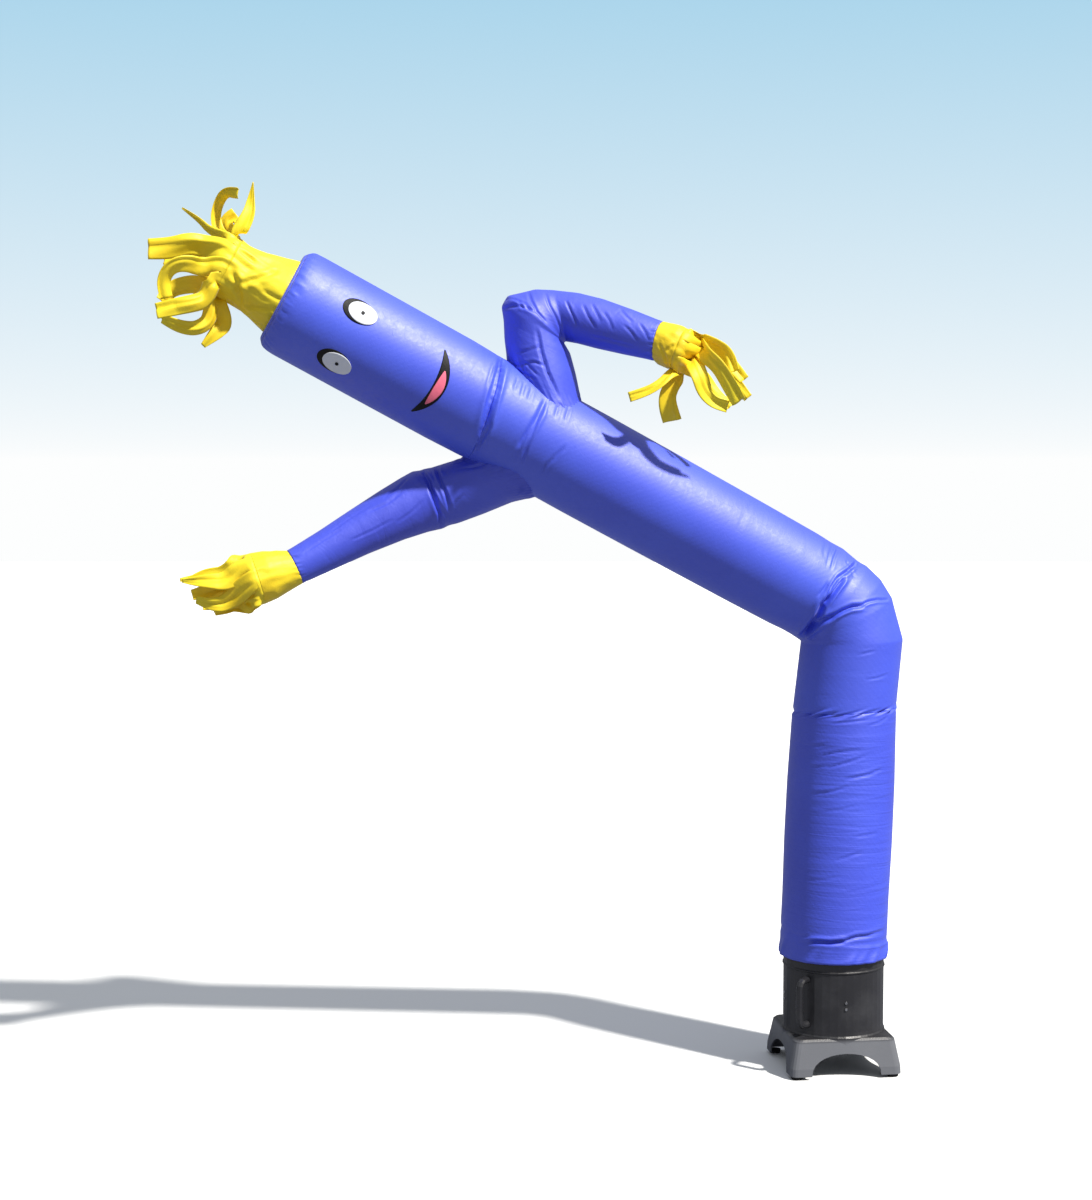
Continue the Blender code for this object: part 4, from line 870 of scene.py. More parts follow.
# %% The blue pieces
cloth_mesh("leg_cloth", body_rows[:LEG_SEAM + 1], True, leg_nylon, ["leg_panel"])
cloth_mesh("chest_cloth", body_rows[LEG_SEAM:HEAD_SEAM + 1], True, body_nylon,
                             ["chest_panel"], keep=body_keep[LEG_SEAM:HEAD_SEAM + 1])
cloth_mesh("head_cloth", body_rows[HEAD_SEAM:], True, body_nylon, ["head_panel"])
cloth_mesh("arm_cloth_upper", arm_up_rows, True, arm_nylon, ["arm_upper"],
                              keep=arm_keep["upper"])
cloth_mesh("arm_cloth_lower", arm_low_rows, True, arm_nylon, ["arm_lower"],
                               keep=arm_keep["lower"])

# %% [markdown]
# The head ends in a flat ring of blue cloth round the hole that the hair is sewn into. Air
# pushes it out a little, so it is a low dome. It is made like a very short tube.

# %% Crown
CROWN_AT, CROWN_EDGE, CROWN_HOLE, CROWN_DOME = 1.7485, 0.264, 0.2145, 0.006
CrownRing = namedtuple("CrownRing", "width dome")
CROWN = (
    CrownRing(CROWN_EDGE, 0.0),
    CrownRing(0.256, CROWN_DOME * 0.55),
    CrownRing(0.246, CROWN_DOME * 0.9),
    CrownRing(0.236, CROWN_DOME),
    CrownRing(0.226, CROWN_DOME * 0.9),
    CrownRing(CROWN_HOLE, CROWN_DOME * 0.6),
)


def crown_ring(ring):
    return Ring(upper_centre(CROWN_AT + ring.dome), *upper_axes(), ring.width, ring.width)


crown_rows = np.array([ring_points(crown_ring(ring), BODY_SIDES) for ring in CROWN])
cloth_mesh("crown_cloth", crown_rows, True, body_nylon, ["crown_panel"],
                             facing=UPPER_AXIS)

# %% [markdown]
# The hair is a yellow sleeve whose end is cut into strips, and the hands are cuffs of the same
# make. Limp cloth that air blows through falls into soft lengthwise folds. They start small
# at the seam, and each fold runs a little askew, so the sleeve looks wrung.

# %% Yellow sleeve and cuffs
SleeveSection = namedtuple("SleeveSection", "along width crumple")
HAIR_SLEEVE = (
    SleeveSection(1.745, 0.2139, 0.000),
    SleeveSection(1.756, 0.2139, 0.000),
    SleeveSection(1.780, 0.2040, 0.004),
    SleeveSection(1.825, 0.1830, 0.008),
    SleeveSection(1.868, 0.1700, 0.010),
    SleeveSection(1.916, 0.1740, 0.010),
)
STITCH_GAP = 0.0003
CuffPlace = namedtuple("CuffPlace", "heading reach_toward wrist")
CUFF_UP = CuffPlace(-22, 0.25, 0.108)
CUFF_LOW = CuffPlace(197, 0.18, 0.099)
CuffSection = namedtuple("CuffSection", "along swell crumple")
CUFF_UP_SECTIONS = (
    CuffSection(0.022, 1.12, 0.003),
    CuffSection(0.045, 1.20, 0.005),
    CuffSection(0.062, 1.14, 0.004),
)
CUFF_LOW_SECTIONS = (
    CuffSection(0.035, 1.22, 0.003),
    CuffSection(0.070, 1.42, 0.005),
    CuffSection(0.105, 1.48, 0.005),
)


def wrung(ring, sides, depth, waves, phase):
    """A ring of points with lobes of cloth pushed inwards."""
    turns = np.arange(sides) * 2 * math.pi / sides
    lobes = 1.0 - 0.7 * np.cos(waves * turns + phase) - 0.3 * np.cos((waves + 3) * turns - 2 * phase)
    fine = 0.16 * np.cos((3 * waves + 1) * turns + 3 * phase) + 0.10 * np.cos((5 * waves - 2) * turns - phase)
    points = ring_points(ring, sides)
    centre = np.array(ring.centre) + AXIS
    out = points - centre
    out /= np.linalg.norm(out, axis=1, keepdims=True)
    return points - out * (depth * (lobes / 2 + fine))[:, None]


def sleeve_rows(loops, step, ease):
    """Fine rows between loops of points, eased as the body's are."""
    rows = [loops[0]]
    for low, high in zip(loops, loops[1:]):
        count = max(1, round(np.linalg.norm(high - low, axis=1).max() / step))
        rows += [low + (high - low) * (i / count) for i in range(1, count + 1)]
    rows = np.array(rows)
    for _ in range(ease):
        rows[1:-1] = (rows[:-2] + 2 * rows[1:-1] + rows[2:]) / 4
    return rows


SEGMENTS_PER_STRIP, HAIR_ROOTS, HAND_ROOTS = 10, 12, 8
HAIR_SIDES, HAND_SIDES = HAIR_ROOTS * SEGMENTS_PER_STRIP, HAND_ROOTS * SEGMENTS_PER_STRIP
hair_loops = [wrung(Ring(upper_centre(s.along), *upper_axes(), s.width, s.width), HAIR_SIDES,
                    s.crumple, 5, s.along * 25) for s in HAIR_SLEEVE]
hair_rows = sleeve_rows(hair_loops, 0.004, 3)


def cuff_rows(arm_sections, cuff, sections):
    """Rows of a cuff that goes on from an arm's last ring, and the cuff's direction."""
    heading = math.radians(cuff.heading)
    axis = np.array((math.cos(heading), -cuff.reach_toward, math.sin(heading)))
    axis /= np.linalg.norm(axis)
    across_axis = np.cross((0, 1, 0), axis)
    across_axis *= np.sign(across_axis[2]) / np.linalg.norm(across_axis)
    deep_axis = np.cross(axis, across_axis)
    end = arm_rings(arm_sections)[-1]
    out = np.cross(end.across_axis, end.deep_axis)
    out *= np.sign(out @ axis)
    flip = np.sign(end.deep_axis @ deep_axis)
    wrist = np.array(end.centre) + out * STITCH_GAP
    loops = [ring_points(Ring(wrist, end.across_axis, end.deep_axis * flip, end.across, end.deep), HAND_SIDES)]
    for s in sections:
        width = cuff.wrist * s.swell
        ring = Ring(wrist + axis * s.along, across_axis, deep_axis, width, width)
        loops.append(wrung(ring, HAND_SIDES, s.crumple, 4, s.along * 60))
    return sleeve_rows(loops, 0.003, 2), axis


cuff_up_rows, cuff_up_axis = cuff_rows(arm_up, CUFF_UP, CUFF_UP_SECTIONS)
cuff_low_rows, cuff_low_axis = cuff_rows(ARM_LOW, CUFF_LOW, CUFF_LOW_SECTIONS)
HAIR_CREASES = (
    Crease("front", 0.0050, 0.0050, 0.3, ((229, 243), (240, 250), (255, 262))),
    Crease("front", 0.0070, 0.0060, 0.2, ((240, 284), (250, 281), (262, 277), (278, 271))),
    Crease("front", 0.0060, 0.0050, -0.2, ((244, 305), (256, 307), (270, 309), (282, 311))),
    Crease("front", 0.0080, 0.0070, 0.3, ((222, 252), (232, 270), (238, 288), (241, 306))),
    Crease("front", 0.0050, 0.0035, 0.0, ((262, 290), (276, 298), (288, 302))),
    Crease("front", 0.0050, 0.0035, 0.0, ((250, 318), (262, 326), (270, 334))),
    Crease("back", 0.0070, 0.0060, 0.2, ((240, 262), (256, 280), (280, 296))),
    Crease("back", 0.0060, 0.0050, -0.2, ((238, 300), (252, 312), (268, 322))),
)
hair_rows = crease_all(hair_rows, HAIR_CREASES)
hair_rows = pucker(hair_rows, 1, 26, 0.018, 0.0030, 0.3, 31, thick=0.008)
CUFF_UP_CREASES = (
    Crease("front", 0.0040, 0.0040, 0.3, ((665, 352), (672, 346), (684, 352), (694, 366))),
    Crease("front", 0.0036, 0.0035, 0.0, ((659, 344), (664, 354), (668, 366))),
    Crease("back", 0.0040, 0.0040, 0.0, ((664, 340), (674, 350), (690, 360))),
)
CUFF_LOW_CREASES = (
    Crease("front", 0.0046, 0.0040, 0.3, ((228, 604), (238, 600), (252, 596), (266, 592))),
    Crease("front", 0.0040, 0.0030, 0.0, ((232, 596), (244, 590), (258, 584))),
    Crease("front", 0.0040, 0.0026, 0.0, ((236, 578), (250, 575), (264, 570))),
    Crease("back", 0.0046, 0.0040, 0.0, ((230, 584), (248, 588), (270, 582))),
)
cuff_up_rows = crease_all(cuff_up_rows, CUFF_UP_CREASES)
cuff_low_rows = crease_all(cuff_low_rows, CUFF_LOW_CREASES)
cuff_up_rows = pucker(cuff_up_rows, 1, 18, 0.012, 0.0016, 0.3, 32, thick=0.005)
cuff_low_rows = pucker(cuff_low_rows, 1, 18, 0.012, 0.0014, 0.3, 33, thick=0.005)
cloth_mesh("hair_sleeve_cloth", hair_rows, True, hair_nylon, ["hair_sleeve"])
cloth_mesh("hand_cuff_cloth_upper", cuff_up_rows, True, hair_nylon,
                               ["hand_cuff_upper"])
cloth_mesh("hand_cuff_cloth_lower", cuff_low_rows, True, hair_nylon,
                                ["hand_cuff_lower"])

# %% [markdown]
# The strips are cut out of the sleeve's own cloth, so they grow out of its end ring with no
# seam. They are broad, limp ribbons: each starts with the ring's curve, flattens as it leaves
# it, and goes where the air and its own weight take it. A strip's middle line runs through
# points that are seen in the photograph, each with how near to the viewer it is, measured
# from the ring. Its turn says how it faces: 0 shows its flat, 90 its edge.

# %% Strips of the hair and hands
Strip = namedtuple("Strip", "root wide tip_wide turn cup path")
HAIR_STRIPS = (
    Strip(0, 0.042, 0.003, -14, 0.08, ((240, 230, 0.02), (249, 214, 0.01), (251, 200, 0.0), (253, 182, 0.0))),
    Strip(1, 0.034, 0.030, 20, 0.14, ((220, 236, -0.02), (215, 218, -0.03), (219, 202, -0.03), (226, 192, -0.01),
                                      (238, 193, 0.02))),
    Strip(2, 0.056, 0.040, -30, 0.12, ((230, 234, -0.05), (226, 222, -0.07), (236, 214, -0.07))),
    Strip(3, 0.050, 0.040, 25, 0.12, ((206, 260, -0.08), (186, 257, -0.12), (164, 262, -0.13))),
    Strip(4, 0.052, 0.040, -20, 0.14, ((208, 284, -0.07), (188, 284, -0.11), (170, 289, -0.12), (162, 302, -0.10))),
    Strip(5, 0.050, 0.044, 30, 0.12, ((222, 308, -0.05), (206, 302, -0.08), (190, 298, -0.09))),
    Strip(6, 0.064, 0.014, 10, 0.10, ((226, 322, 0.0), (216, 333, 0.02), (203, 346, 0.02))),
    Strip(7, 0.044, 0.030, -25, 0.14, ((212, 318, 0.03), (198, 329, 0.05), (180, 327, 0.05), (162, 318, 0.04))),
    Strip(8, 0.048, 0.044, 15, 0.40, ((206, 300, 0.06), (190, 304, 0.09), (174, 307, 0.10), (156, 311, 0.10))),
    Strip(9, 0.050, 0.036, -18, 0.12, ((204, 268, 0.06), (186, 262, 0.10), (170, 267, 0.11), (163, 282, 0.10),
                                       (167, 298, 0.09))),
    Strip(10, 0.058, 0.058, 8, 0.06, ((206, 246, 0.03), (190, 243, 0.05), (172, 248, 0.05), (148, 249, 0.05))),
    Strip(11, 0.030, 0.005, -20, 0.10, ((210, 231, 0.0), (199, 220, -0.01), (182, 208, 0.0))),
)
HAND_UP_STRIPS = (
    Strip(0, 0.046, 0.038, 12, 0.08, ((700, 341, 0.0), (714, 345, 0.0), (727, 353, 0.01), (733, 372, 0.02))),
    Strip(1, 0.042, 0.032, -20, 0.12, ((708, 348, -0.04), (728, 360, -0.06), (744, 380, -0.05))),
    Strip(2, 0.044, 0.026, 20, 0.12, ((712, 360, -0.06), (732, 378, -0.08), (748, 398, -0.06))),
    Strip(3, 0.040, 0.030, -15, 0.10, ((702, 374, -0.05), (714, 392, -0.05), (730, 407, -0.02))),
    Strip(4, 0.044, 0.054, 5, 0.04, ((680, 374, 0.0), (671, 386, 0.01), (666, 400, 0.01), (672, 421, 0.0))),
    Strip(5, 0.032, 0.028, 25, 0.10, ((672, 372, 0.03), (660, 384, 0.05), (648, 391, 0.05), (629, 397, 0.04))),
    Strip(6, 0.050, 0.042, -8, 0.08, ((694, 362, 0.04), (700, 376, 0.06), (704, 391, 0.05), (714, 401, 0.04),
                                      (728, 405, 0.03))),
    Strip(7, 0.048, 0.040, 12, 0.08, ((704, 354, 0.05), (717, 365, 0.07), (727, 381, 0.07), (739, 402, 0.04))),
)
HAND_LOW_STRIPS = (
    Strip(0, 0.052, 0.014, -15, 0.08, ((226, 575, 0.0), (206, 574, 0.0), (188, 580, 0.01))),
    Strip(1, 0.050, 0.010, 20, 0.08, ((222, 577, -0.03), (202, 578, -0.04), (180, 580, -0.03))),
    Strip(2, 0.056, 0.030, -10, 0.06, ((222, 586, -0.05), (206, 591, -0.06), (192, 595, -0.05))),
    Strip(3, 0.056, 0.032, 10, 0.06, ((228, 598, -0.04), (214, 603, -0.05), (202, 605, -0.04))),
    Strip(4, 0.052, 0.024, -12, 0.08, ((234, 603, 0.0), (226, 608, 0.01), (214, 612, 0.01))),
    Strip(5, 0.050, 0.030, 10, 0.08, ((244, 602, 0.02), (249, 607, 0.03), (253, 611, 0.02))),
    Strip(6, 0.058, 0.022, -8, 0.06, ((228, 603, 0.03), (211, 605, 0.04), (196, 600, 0.03))),
    Strip(7, 0.060, 0.010, 8, 0.06, ((228, 582, 0.04), (207, 581, 0.05), (182, 581, 0.03))),
)
BAND_LENGTH, STRIP_ROWS, HALF_STRIP = 0.007, 40, 5


def near_ring(centre, x, y, nearer):
    """The place at a pixel, as deep as the ring's centre or nearer to the viewer by some metres."""
    ray = np.array(sight_line(x, y))
    eye = np.array(CAMERA_AT)
    return eye + ray * (centre[1] - nearer - eye[1]) / ray[1]


def smooth_line(points, rows, rounds=3):
    """Cuts a line's corners a few times, then spaces its points evenly."""
    line = np.array(points)
    for _ in range(rounds):
        near, far = line[:-1] * 0.75 + line[1:] * 0.25, line[:-1] * 0.25 + line[1:] * 0.75
        line = np.concatenate((line[:1], np.stack((near, far), axis=1).reshape(-1, 3)[1:-1], line[-1:]))
    run = np.concatenate(([0], np.cumsum(np.linalg.norm(np.diff(line, axis=0), axis=1))))
    even = np.linspace(0, run[-1], rows + 1)
    return np.stack([np.interp(even, run, line[:, i]) for i in range(3)], axis=1)


def soft_step(value):
    value = min(1.0, max(0.0, value))
    return value * value * (3 - 2 * value)


def strip_grid(strip, ring, centre, axis, draw):
    """Rows of points down one strip, from the band's ring to its tip."""
    sides = len(ring)
    columns = [(strip.root * SEGMENTS_PER_STRIP + k) % sides for k in range(-HALF_STRIP, HALF_STRIP + 1)]
    first = ring[columns]
    root = first.mean(axis=0)
    root_side = first[-1] - first[0]
    root_width = np.linalg.norm(root_side)
    root_side = root_side / root_width
    out = root - centre
    out -= axis * (out @ axis)
    out /= np.linalg.norm(out)
    line = smooth_line([root, root + axis * 0.014] + [near_ring(centre, *p) for p in strip.path], STRIP_ROWS)
    ahead = np.gradient(line, axis=0)
    ahead /= np.linalg.norm(ahead, axis=1, keepdims=True)
    to_viewer = np.array(CAMERA_AT) - line[-1]
    to_viewer /= np.linalg.norm(to_viewer)
    share = np.linspace(-1, 1, 2 * HALF_STRIP + 1)
    phase, pleat = draw.uniform(0, 2 * math.pi), draw.uniform(-0.5, 0.5)
    pleat_side = draw.choice((-1, 1))
    flat_start = np.cross(to_viewer, ahead[STRIP_ROWS // 2])
    sign = 1 if flat_start @ root_side >= 0 else -1
    base_side, base_face, base_axis = (first - root) @ root_side, (first - root) @ out, (first - root) @ axis
    face_start = np.cross(root_side, ahead[0])
    face_sign = 1 if face_start @ out >= 0 else -1
    grid = [first]
    for i in range(1, STRIP_ROWS + 1):
        t = i / STRIP_ROWS
        flat_side = np.cross(to_viewer, ahead[i]) * sign
        flat_side /= max(np.linalg.norm(flat_side), 1e-6)
        wobble = strip.turn + 16 * math.sin(5 * t + phase)
        flat_side = np.array(Matrix.Rotation(math.radians(wobble), 3, Vector(ahead[i])) @ Vector(flat_side))
        laid = soft_step(t / 0.32)
        side = root_side * (1 - laid) + flat_side * laid
        side -= ahead[i] * (side @ ahead[i])
        side /= np.linalg.norm(side)
        face = np.cross(side, ahead[i]) * face_sign
        width = root_width + (strip.wide - root_width) * soft_step(t / 0.16)
        width += (strip.tip_wide - strip.wide) * max(0, (t - 0.3) / 0.7) ** 1.3
        hollow = strip.cup * width * (1 - share ** 2) * math.sin(math.pi * min(1, 0.25 + t))
        hollow = hollow + 0.05 * width * np.cos(3.4 * share + 6 * t + phase)
        hollow = hollow - 0.12 * pleat_side * width * np.exp(-((share - pleat - 0.3 * t) / 0.16) ** 2)
        ease = soft_step(t / 0.16)
        across = base_side * (1 - ease) + share * width / 2 * ease
        proud = base_face * (1 - ease) + hollow * ease
        grid.append(line[i] + np.outer(across, side) + np.outer(proud, face)
                    + np.outer(base_axis * (1 - ease), axis))
    return columns, np.array(grid), root_width


def fringe(name, end_ring, axis, strips, replaced, seed):
    """A narrow band and the strips that grow out of it, as one sheet."""
    draw = np.random.default_rng(seed)
    axis = np.array(axis)
    top = end_ring + axis * BAND_LENGTH
    centre = top.mean(axis=0)
    mesh_maker = bmesh.new()
    cloth_map = mesh_maker.loops.layers.uv.new(CLOTH_MAP)
    places = {}

    def point(at, u, v):
        made = mesh_maker.verts.new(at)
        places[made] = (u, v)
        return made

    sides = len(end_ring)
    around = np.linalg.norm(np.roll(end_ring, -1, axis=0) - end_ring, axis=1).mean()
    low = [point(p, i * around, 0.0) for i, p in enumerate(end_ring)]
    high = [point(p, i * around, BAND_LENGTH) for i, p in enumerate(top)]
    for i in range(sides):
        j = (i + 1) % sides
        mesh_maker.faces.new((low[i], low[j], high[j], high[i]))
    area = sides * around * BAND_LENGTH
    for strip in strips:
        columns, grid, width = strip_grid(strip, top, centre, axis, draw)
        last = [high[c] for c in columns]
        run = BAND_LENGTH
        for low_row, row in zip(grid, grid[1:]):
            run += np.linalg.norm(row[HALF_STRIP] - low_row[HALF_STRIP])
            line = [point(p, (columns[0] + k) * around, run) for k, p in enumerate(row)]
            for k in range(len(line) - 1):
                mesh_maker.faces.new((last[k], last[k + 1], line[k + 1], line[k]))
            last = line
        area += np.linalg.norm(np.diff(grid, axis=0), axis=2).mean(axis=1) @ (
            np.linalg.norm(np.diff(grid[1:], axis=1), axis=2).sum(axis=1))
    for face in mesh_maker.faces:
        face.smooth = True
        for loop in face.loops:
            loop[cloth_map].uv = places[loop.vert]
    mesh_maker.normal_update()
    if sum((f.normal.dot(f.calc_center_median() - Vector(centre)) for f in list(mesh_maker.faces)[:sides])) < 0:
        bmesh.ops.reverse_faces(mesh_maker, faces=mesh_maker.faces)
    mesh = bpy.data.meshes.new(name)
    mesh_maker.to_mesh(mesh)
    mesh_maker.free()
    mesh.materials.append(hair_nylon)
    thing = bpy.data.objects.new(name, mesh)
    bpy.context.scene.collection.objects.link(thing)
    thicken(thing)
    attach(thing, "root")
    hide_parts(*replaced)
    print(name, "faces", len(mesh.polygons), "cloth area", round(area, 4))
    return thing, area


hair_strips, hair_area = fringe("hair_strips_cloth", hair_rows[-1], UPPER_AXIS, HAIR_STRIPS, ["hair_strips"], 41)
hand_up, hand_up_area = fringe("hand_strips_cloth_upper", cuff_up_rows[-1], cuff_up_axis, HAND_UP_STRIPS,
                               ["hand_strips_upper"], 42)
hand_low, hand_low_area = fringe("hand_strips_cloth_lower", cuff_low_rows[-1], cuff_low_axis, HAND_LOW_STRIPS,
                                 ["hand_strips_lower"], 43)

# %% [markdown]
# The face is cut from plain cloth and sewn on: two white ovals, each on a dark oval that
# shows as a crescent on the crown's side, a small dark spot in each, and a smile of a dark
# band with a red middle. Each patch is a fine grid that is dropped onto the finished head, so
# that it follows its round.

# %% Patches of the face
head_tree = surface_tree(body_rows)
PATCH, PATCH_LIFT = 0.0007, 0.0004
Eye = namedtuple("Eye", "along round length width")
EYES = (Eye(1.548, 26, 0.096, 0.068), Eye(1.545, -35, 0.096, 0.070))
EYE_BACK_SHIFT, PUPIL = 0.010, 0.010
MOUTH_ALONG, MOUTH_SAG, MOUTH_FROM, MOUTH_TO, MOUTH_WIDTH = 1.310, 0.033, 36, -44, 0.036
LIP_FROM, LIP_TO, LIP_WIDTH = 14, -27, 0.026
HEAD_WIDE, HEAD_DEEP = 0.297, 0.300


def head_place(along, round_degrees, lift):
    """A place on the head's cloth: 0 degrees faces straight out of it, 90 is its upper side."""
    turn = math.radians(270 + round_degrees)
    across_axis, deep_axis = upper_axes()
    centre = upper_centre(along) + AXIS
    out = np.array(across_axis) * math.cos(turn) * HEAD_WIDE + np.array(deep_axis) * math.sin(turn) * HEAD_DEEP
    out /= np.linalg.norm(out)
    hit = head_tree.ray_cast(Vector(centre + out * 0.4), Vector(-out))[0]
    return Vector(hit) + Vector(out) * lift


def face_patch(name, grid, layer, material, replaced):
    """A sheet on the head. layer counts the patches beneath it."""
    lift = PATCH_LIFT + (layer + 1) * PATCH + layer * PATCH_LIFT
    rows = np.array([[head_place(a, r, lift) for a, r in row] for row in grid])
    out = rows.mean(axis=(0, 1)) - (upper_centre(grid[0][0][0]) + AXIS)
    thing, _, _ = cloth_mesh(name, rows, False, material, replaced, facing=out, thickness=PATCH)
    return thing


def oval(eye, length, width, shift=0.0, rows=26, columns=18):
    """Rows across an oval, each from its lower to its upper end."""
    degrees = math.degrees(2 / HEAD_DEEP)
    grid = []
    for i in range(rows + 1):
        turn = math.pi * (0.02 + 0.96 * i / rows)
        half = math.sin(turn) * width / 2
        along = eye.along + shift - math.cos(turn) * length / 2
        grid.append([(along, eye.round + (2 * k / columns - 1) * half * degrees) for k in range(columns + 1)])
    return grid


def crescent(start, end, width, rows=60, columns=8):
    """Rows across a smile: widest in the middle, bent towards the chest."""
    grid = []
    for i in range(rows + 1):
        share = 0.01 + 0.98 * i / rows
        at = start + (end - start) * share
        whole = (at - MOUTH_FROM) / (MOUTH_TO - MOUTH_FROM)
        middle = MOUTH_ALONG - MOUTH_SAG * (1 - (2 * whole - 1) ** 2)
        half = width / 2 * math.sin(math.pi * share) ** 0.7
        grid.append([(middle + (2 * k / columns - 1) * half, at) for k in range(columns + 1)])
    return grid


face_white = coated_nylon("white_patch_nylon", "f2f4f8", "e2e8f4", waves=(12.0, 12.0), wave_mm=0.4, crease_mm=0.3,
                          gloss=0.3)
face_black = coated_nylon("black_patch_nylon", "141418", "0c0c10", waves=(12.0, 12.0), wave_mm=0.4, crease_mm=0.3, gloss=0.2)
face_red = coated_nylon("red_patch_nylon", "ff86a2", "ff7694", waves=(12.0, 12.0), wave_mm=0.4, crease_mm=0.3, gloss=0.4)
for tag, eye in zip(("upper", "lower"), EYES):
    face_patch(f"eye_back_cloth_{tag}", oval(eye, eye.length, eye.width, EYE_BACK_SHIFT), 0, face_black,
               [f"eye_back_{tag}"])
    face_patch(f"eye_white_cloth_{tag}", oval(eye, eye.length * 0.86, eye.width * 0.88), 1, face_white,
               [f"eye_white_{tag}"])
    face_patch(f"eye_spot_cloth_{tag}", oval(eye, PUPIL, PUPIL, rows=10, columns=8), 2, face_black,
               [f"eye_pupil_{tag}"])
face_patch("mouth_cloth", crescent(MOUTH_FROM, MOUTH_TO, MOUTH_WIDTH), 0, face_black, ["mouth"])
face_patch("lip_cloth", crescent(LIP_FROM, LIP_TO, LIP_WIDTH), 1, face_red, ["lip"])

# %% [markdown]
# Each piece of cloth prints the size it was cut to as it is made. A tube's cut is its
# circumference by its length. The arms and the yellow sleeves taper, so their flat area is
# that of a trapezium.

# %% [markdown]
# The blower's drum, base and rings are rotomoulded polyethylene: the inside of the mould is
# sandblasted, so the plastic comes out with a fine pebble and a satin gloss. Years on lawns
# leave dust in the pebble. The base's sloped skirt is painted a paler grey: a painted sheen for
# the light that it catches. The real pebble is about 1 mm from peak to peak, and here it is drawn at 3 mm.

# %% Moulded plastic, paint, steel and rubber


def moulded_plastic(name, lit, dust, pebble_mm=3.0, deep_mm=0.22, rough=0.42, painted_sheen_top=None):
    """Pebbled plastic. Below the skirt height given, in metres, the colour is mixed towards a paler grey: a painted
    sheen for the light on the sloped skirt.
    """
    made, tree, shader = new_material(name)
    place = put(tree, "TexCoord").outputs["Object"]
    pebble = put(tree, "TexVoronoi", {"Scale": 1000 / pebble_mm}, {"Vector": place}, feature="SMOOTH_F1")
    swell = put(tree, "TexNoise", {"Scale": 14.0, "Detail": 2.0}, {"Vector": place})
    height = put(tree, "Math", {1: deep_mm / 1000}, {0: pebble.outputs[0]}, operation="MULTIPLY")
    height = put(tree, "Math", {1: 0.0006}, {0: swell.outputs[0], 2: height.outputs[0]},
                 operation="MULTIPLY_ADD")
    bump = put(tree, "Bump", {"Strength": 1.0, "Distance": 1.0}, {"Height": height.outputs[0]})
    patches = put(tree, "TexNoise", {"Scale": 9.0, "Detail": 6.0, "Roughness": 0.65}, {"Vector": place})
    dusty = put(tree, "MapRange", {1: 0.46, 2: 0.78, 3: 0.0, 4: 0.5}, {0: patches.outputs[0]})
    colour = put(tree, "Mix", {6: linear(lit), 7: linear(dust)}, {0: dusty.outputs[0]}, data_type="RGBA")
    gloss = put(tree, "MapRange", {1: 0.3, 2: 0.8, 3: rough - 0.06, 4: rough + 0.16}, {0: patches.outputs[0]})
    # Painted sheen: below the skirt's top the colour is mixed towards the paler grey 787b82, which stands in for light
    # on the sloped skirt, not for a colour of the plastic.
    if painted_sheen_top:
        up = put(tree, "SeparateXYZ", {}, {"Vector": place})
        share = put(tree, "MapRange", {1: painted_sheen_top, 2: painted_sheen_top - 0.012, 3: 0.0, 4: 0.85}, {0: up.outputs["Z"]})
        colour = put(tree, "Mix", {7: linear("787b82")}, {0: share.outputs[0], 6: colour.outputs[2]},
                     data_type="RGBA")
    tree.links.new(colour.outputs[2], shader.inputs["Base Color"])
    tree.links.new(gloss.outputs[0], shader.inputs["Roughness"])
    tree.links.new(bump.outputs[0], shader.inputs["Normal"])
    shader.inputs["IOR"].default_value = 1.51
    shader.inputs["Specular IOR Level"].default_value = 0.7
    return made


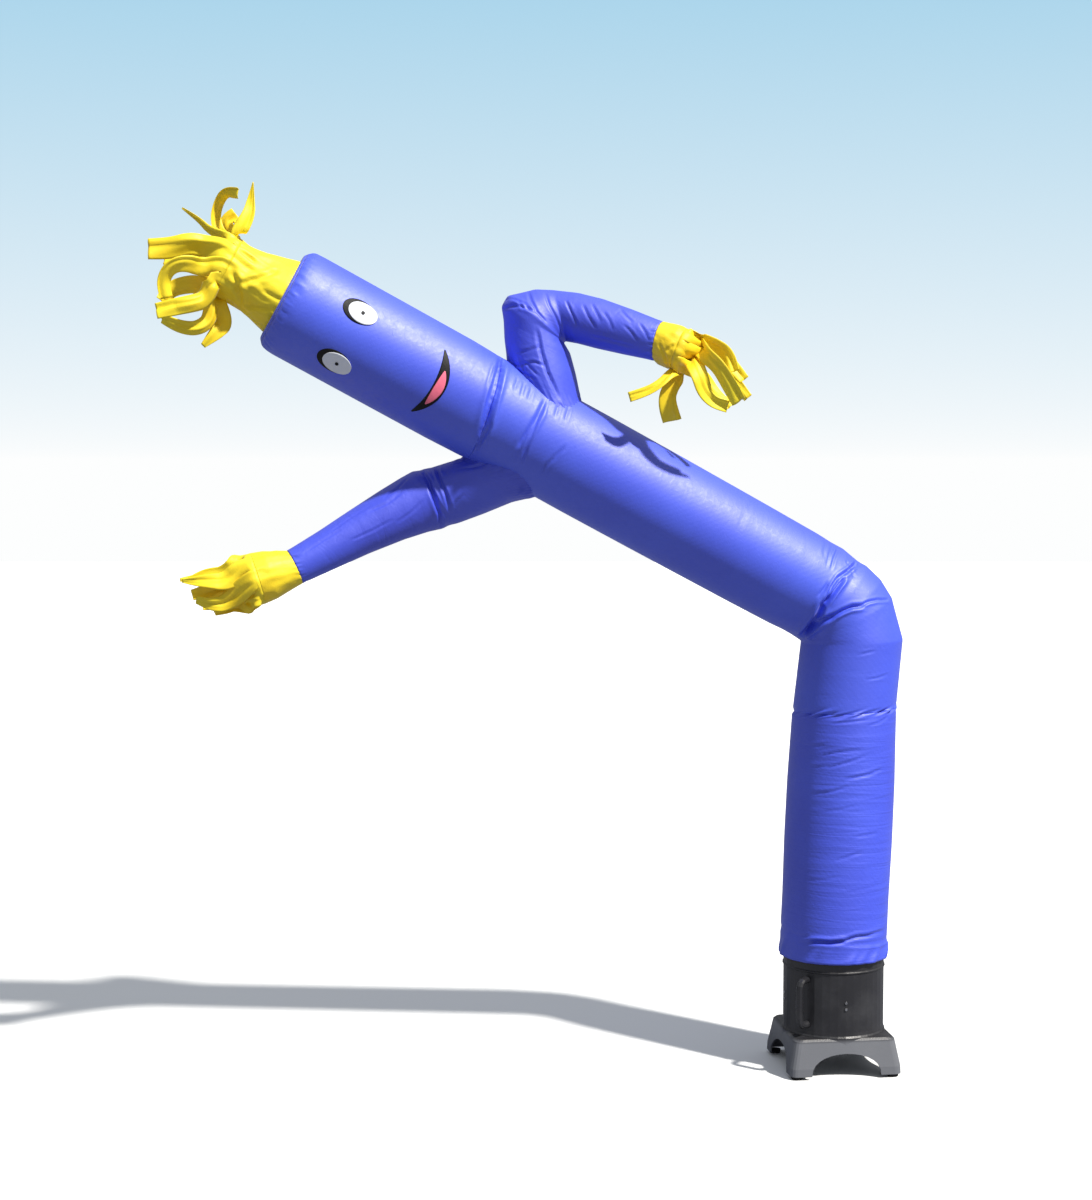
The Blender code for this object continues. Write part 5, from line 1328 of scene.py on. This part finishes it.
def worn_metal(name, lit, worn, grain_mm, metallic, rough):
    """Painted or plated metal with fine grain and darker rubbed patches."""
    made, tree, shader = new_material(name)
    place = put(tree, "TexCoord").outputs["Object"]
    grain = put(tree, "TexNoise", {"Scale": 1000 / grain_mm, "Detail": 3.0}, {"Vector": place})
    patches = put(tree, "TexNoise", {"Scale": 40.0, "Detail": 5.0}, {"Vector": place})
    shares = put(tree, "MapRange", {1: 0.45, 2: 0.75}, {0: patches.outputs[0]})
    colour = put(tree, "Mix", {6: linear(lit), 7: linear(worn)}, {0: shares.outputs[0]}, data_type="RGBA")
    bump = put(tree, "Bump", {"Strength": 0.5, "Distance": 0.0002}, {"Height": grain.outputs[0]})
    gloss = put(tree, "MapRange", {1: 0.3, 2: 0.8, 3: rough - 0.05, 4: rough + 0.12}, {0: patches.outputs[0]})
    tree.links.new(colour.outputs[2], shader.inputs["Base Color"])
    tree.links.new(gloss.outputs[0], shader.inputs["Roughness"])
    tree.links.new(bump.outputs[0], shader.inputs["Normal"])
    shader.inputs["Metallic"].default_value = metallic
    return made


# Height of the base's skirt; below it the housing's colour has a painted sheen.
PAINTED_SHEEN_TOP = 0.112
housing_plastic_with_painted_sheen = moulded_plastic("black_rotomoulded_housing_painted_sheen", "222226", "46474b", rough=0.36, painted_sheen_top=PAINTED_SHEEN_TOP)
polyethylene = moulded_plastic("black_rotomoulded_polyethylene", "222226", "46474b", rough=0.30)
guard_plastic = moulded_plastic("black_injection_moulded_guard", "1c1c1f", "3a3b3d", pebble_mm=1.6, deep_mm=0.06)
rubber = moulded_plastic("black_moulded_rubber", "161617", "3c3a37", pebble_mm=1.2, deep_mm=0.05, rough=0.75)
motor_paint = worn_metal("grey_satin_paint_on_steel", "56585b", "3c3e40", 1.2, 0.0, 0.45)
zinc = worn_metal("bright_zinc_plated_steel", "c9cacc", "8c8d8f", 0.6, 1.0, 0.28)
finishes = {"blower_housing": housing_plastic_with_painted_sheen, "rim_collar": polyethylene, "fan_guard": guard_plastic,
            "fan_motor": motor_paint, "handle_front": polyethylene, "handle_back": polyethylene}
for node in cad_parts:
    if node.startswith("screw_"):
        finishes[node] = zinc
    if node.startswith("foot_"):
        finishes[node] = rubber


def dress(node, material):
    thing = bpy.data.objects[node]
    for slot in thing.material_slots:
        slot.material = material


for node, material in finishes.items():
    dress(node, material)
print("CAD pieces kept and dressed:", len(finishes))
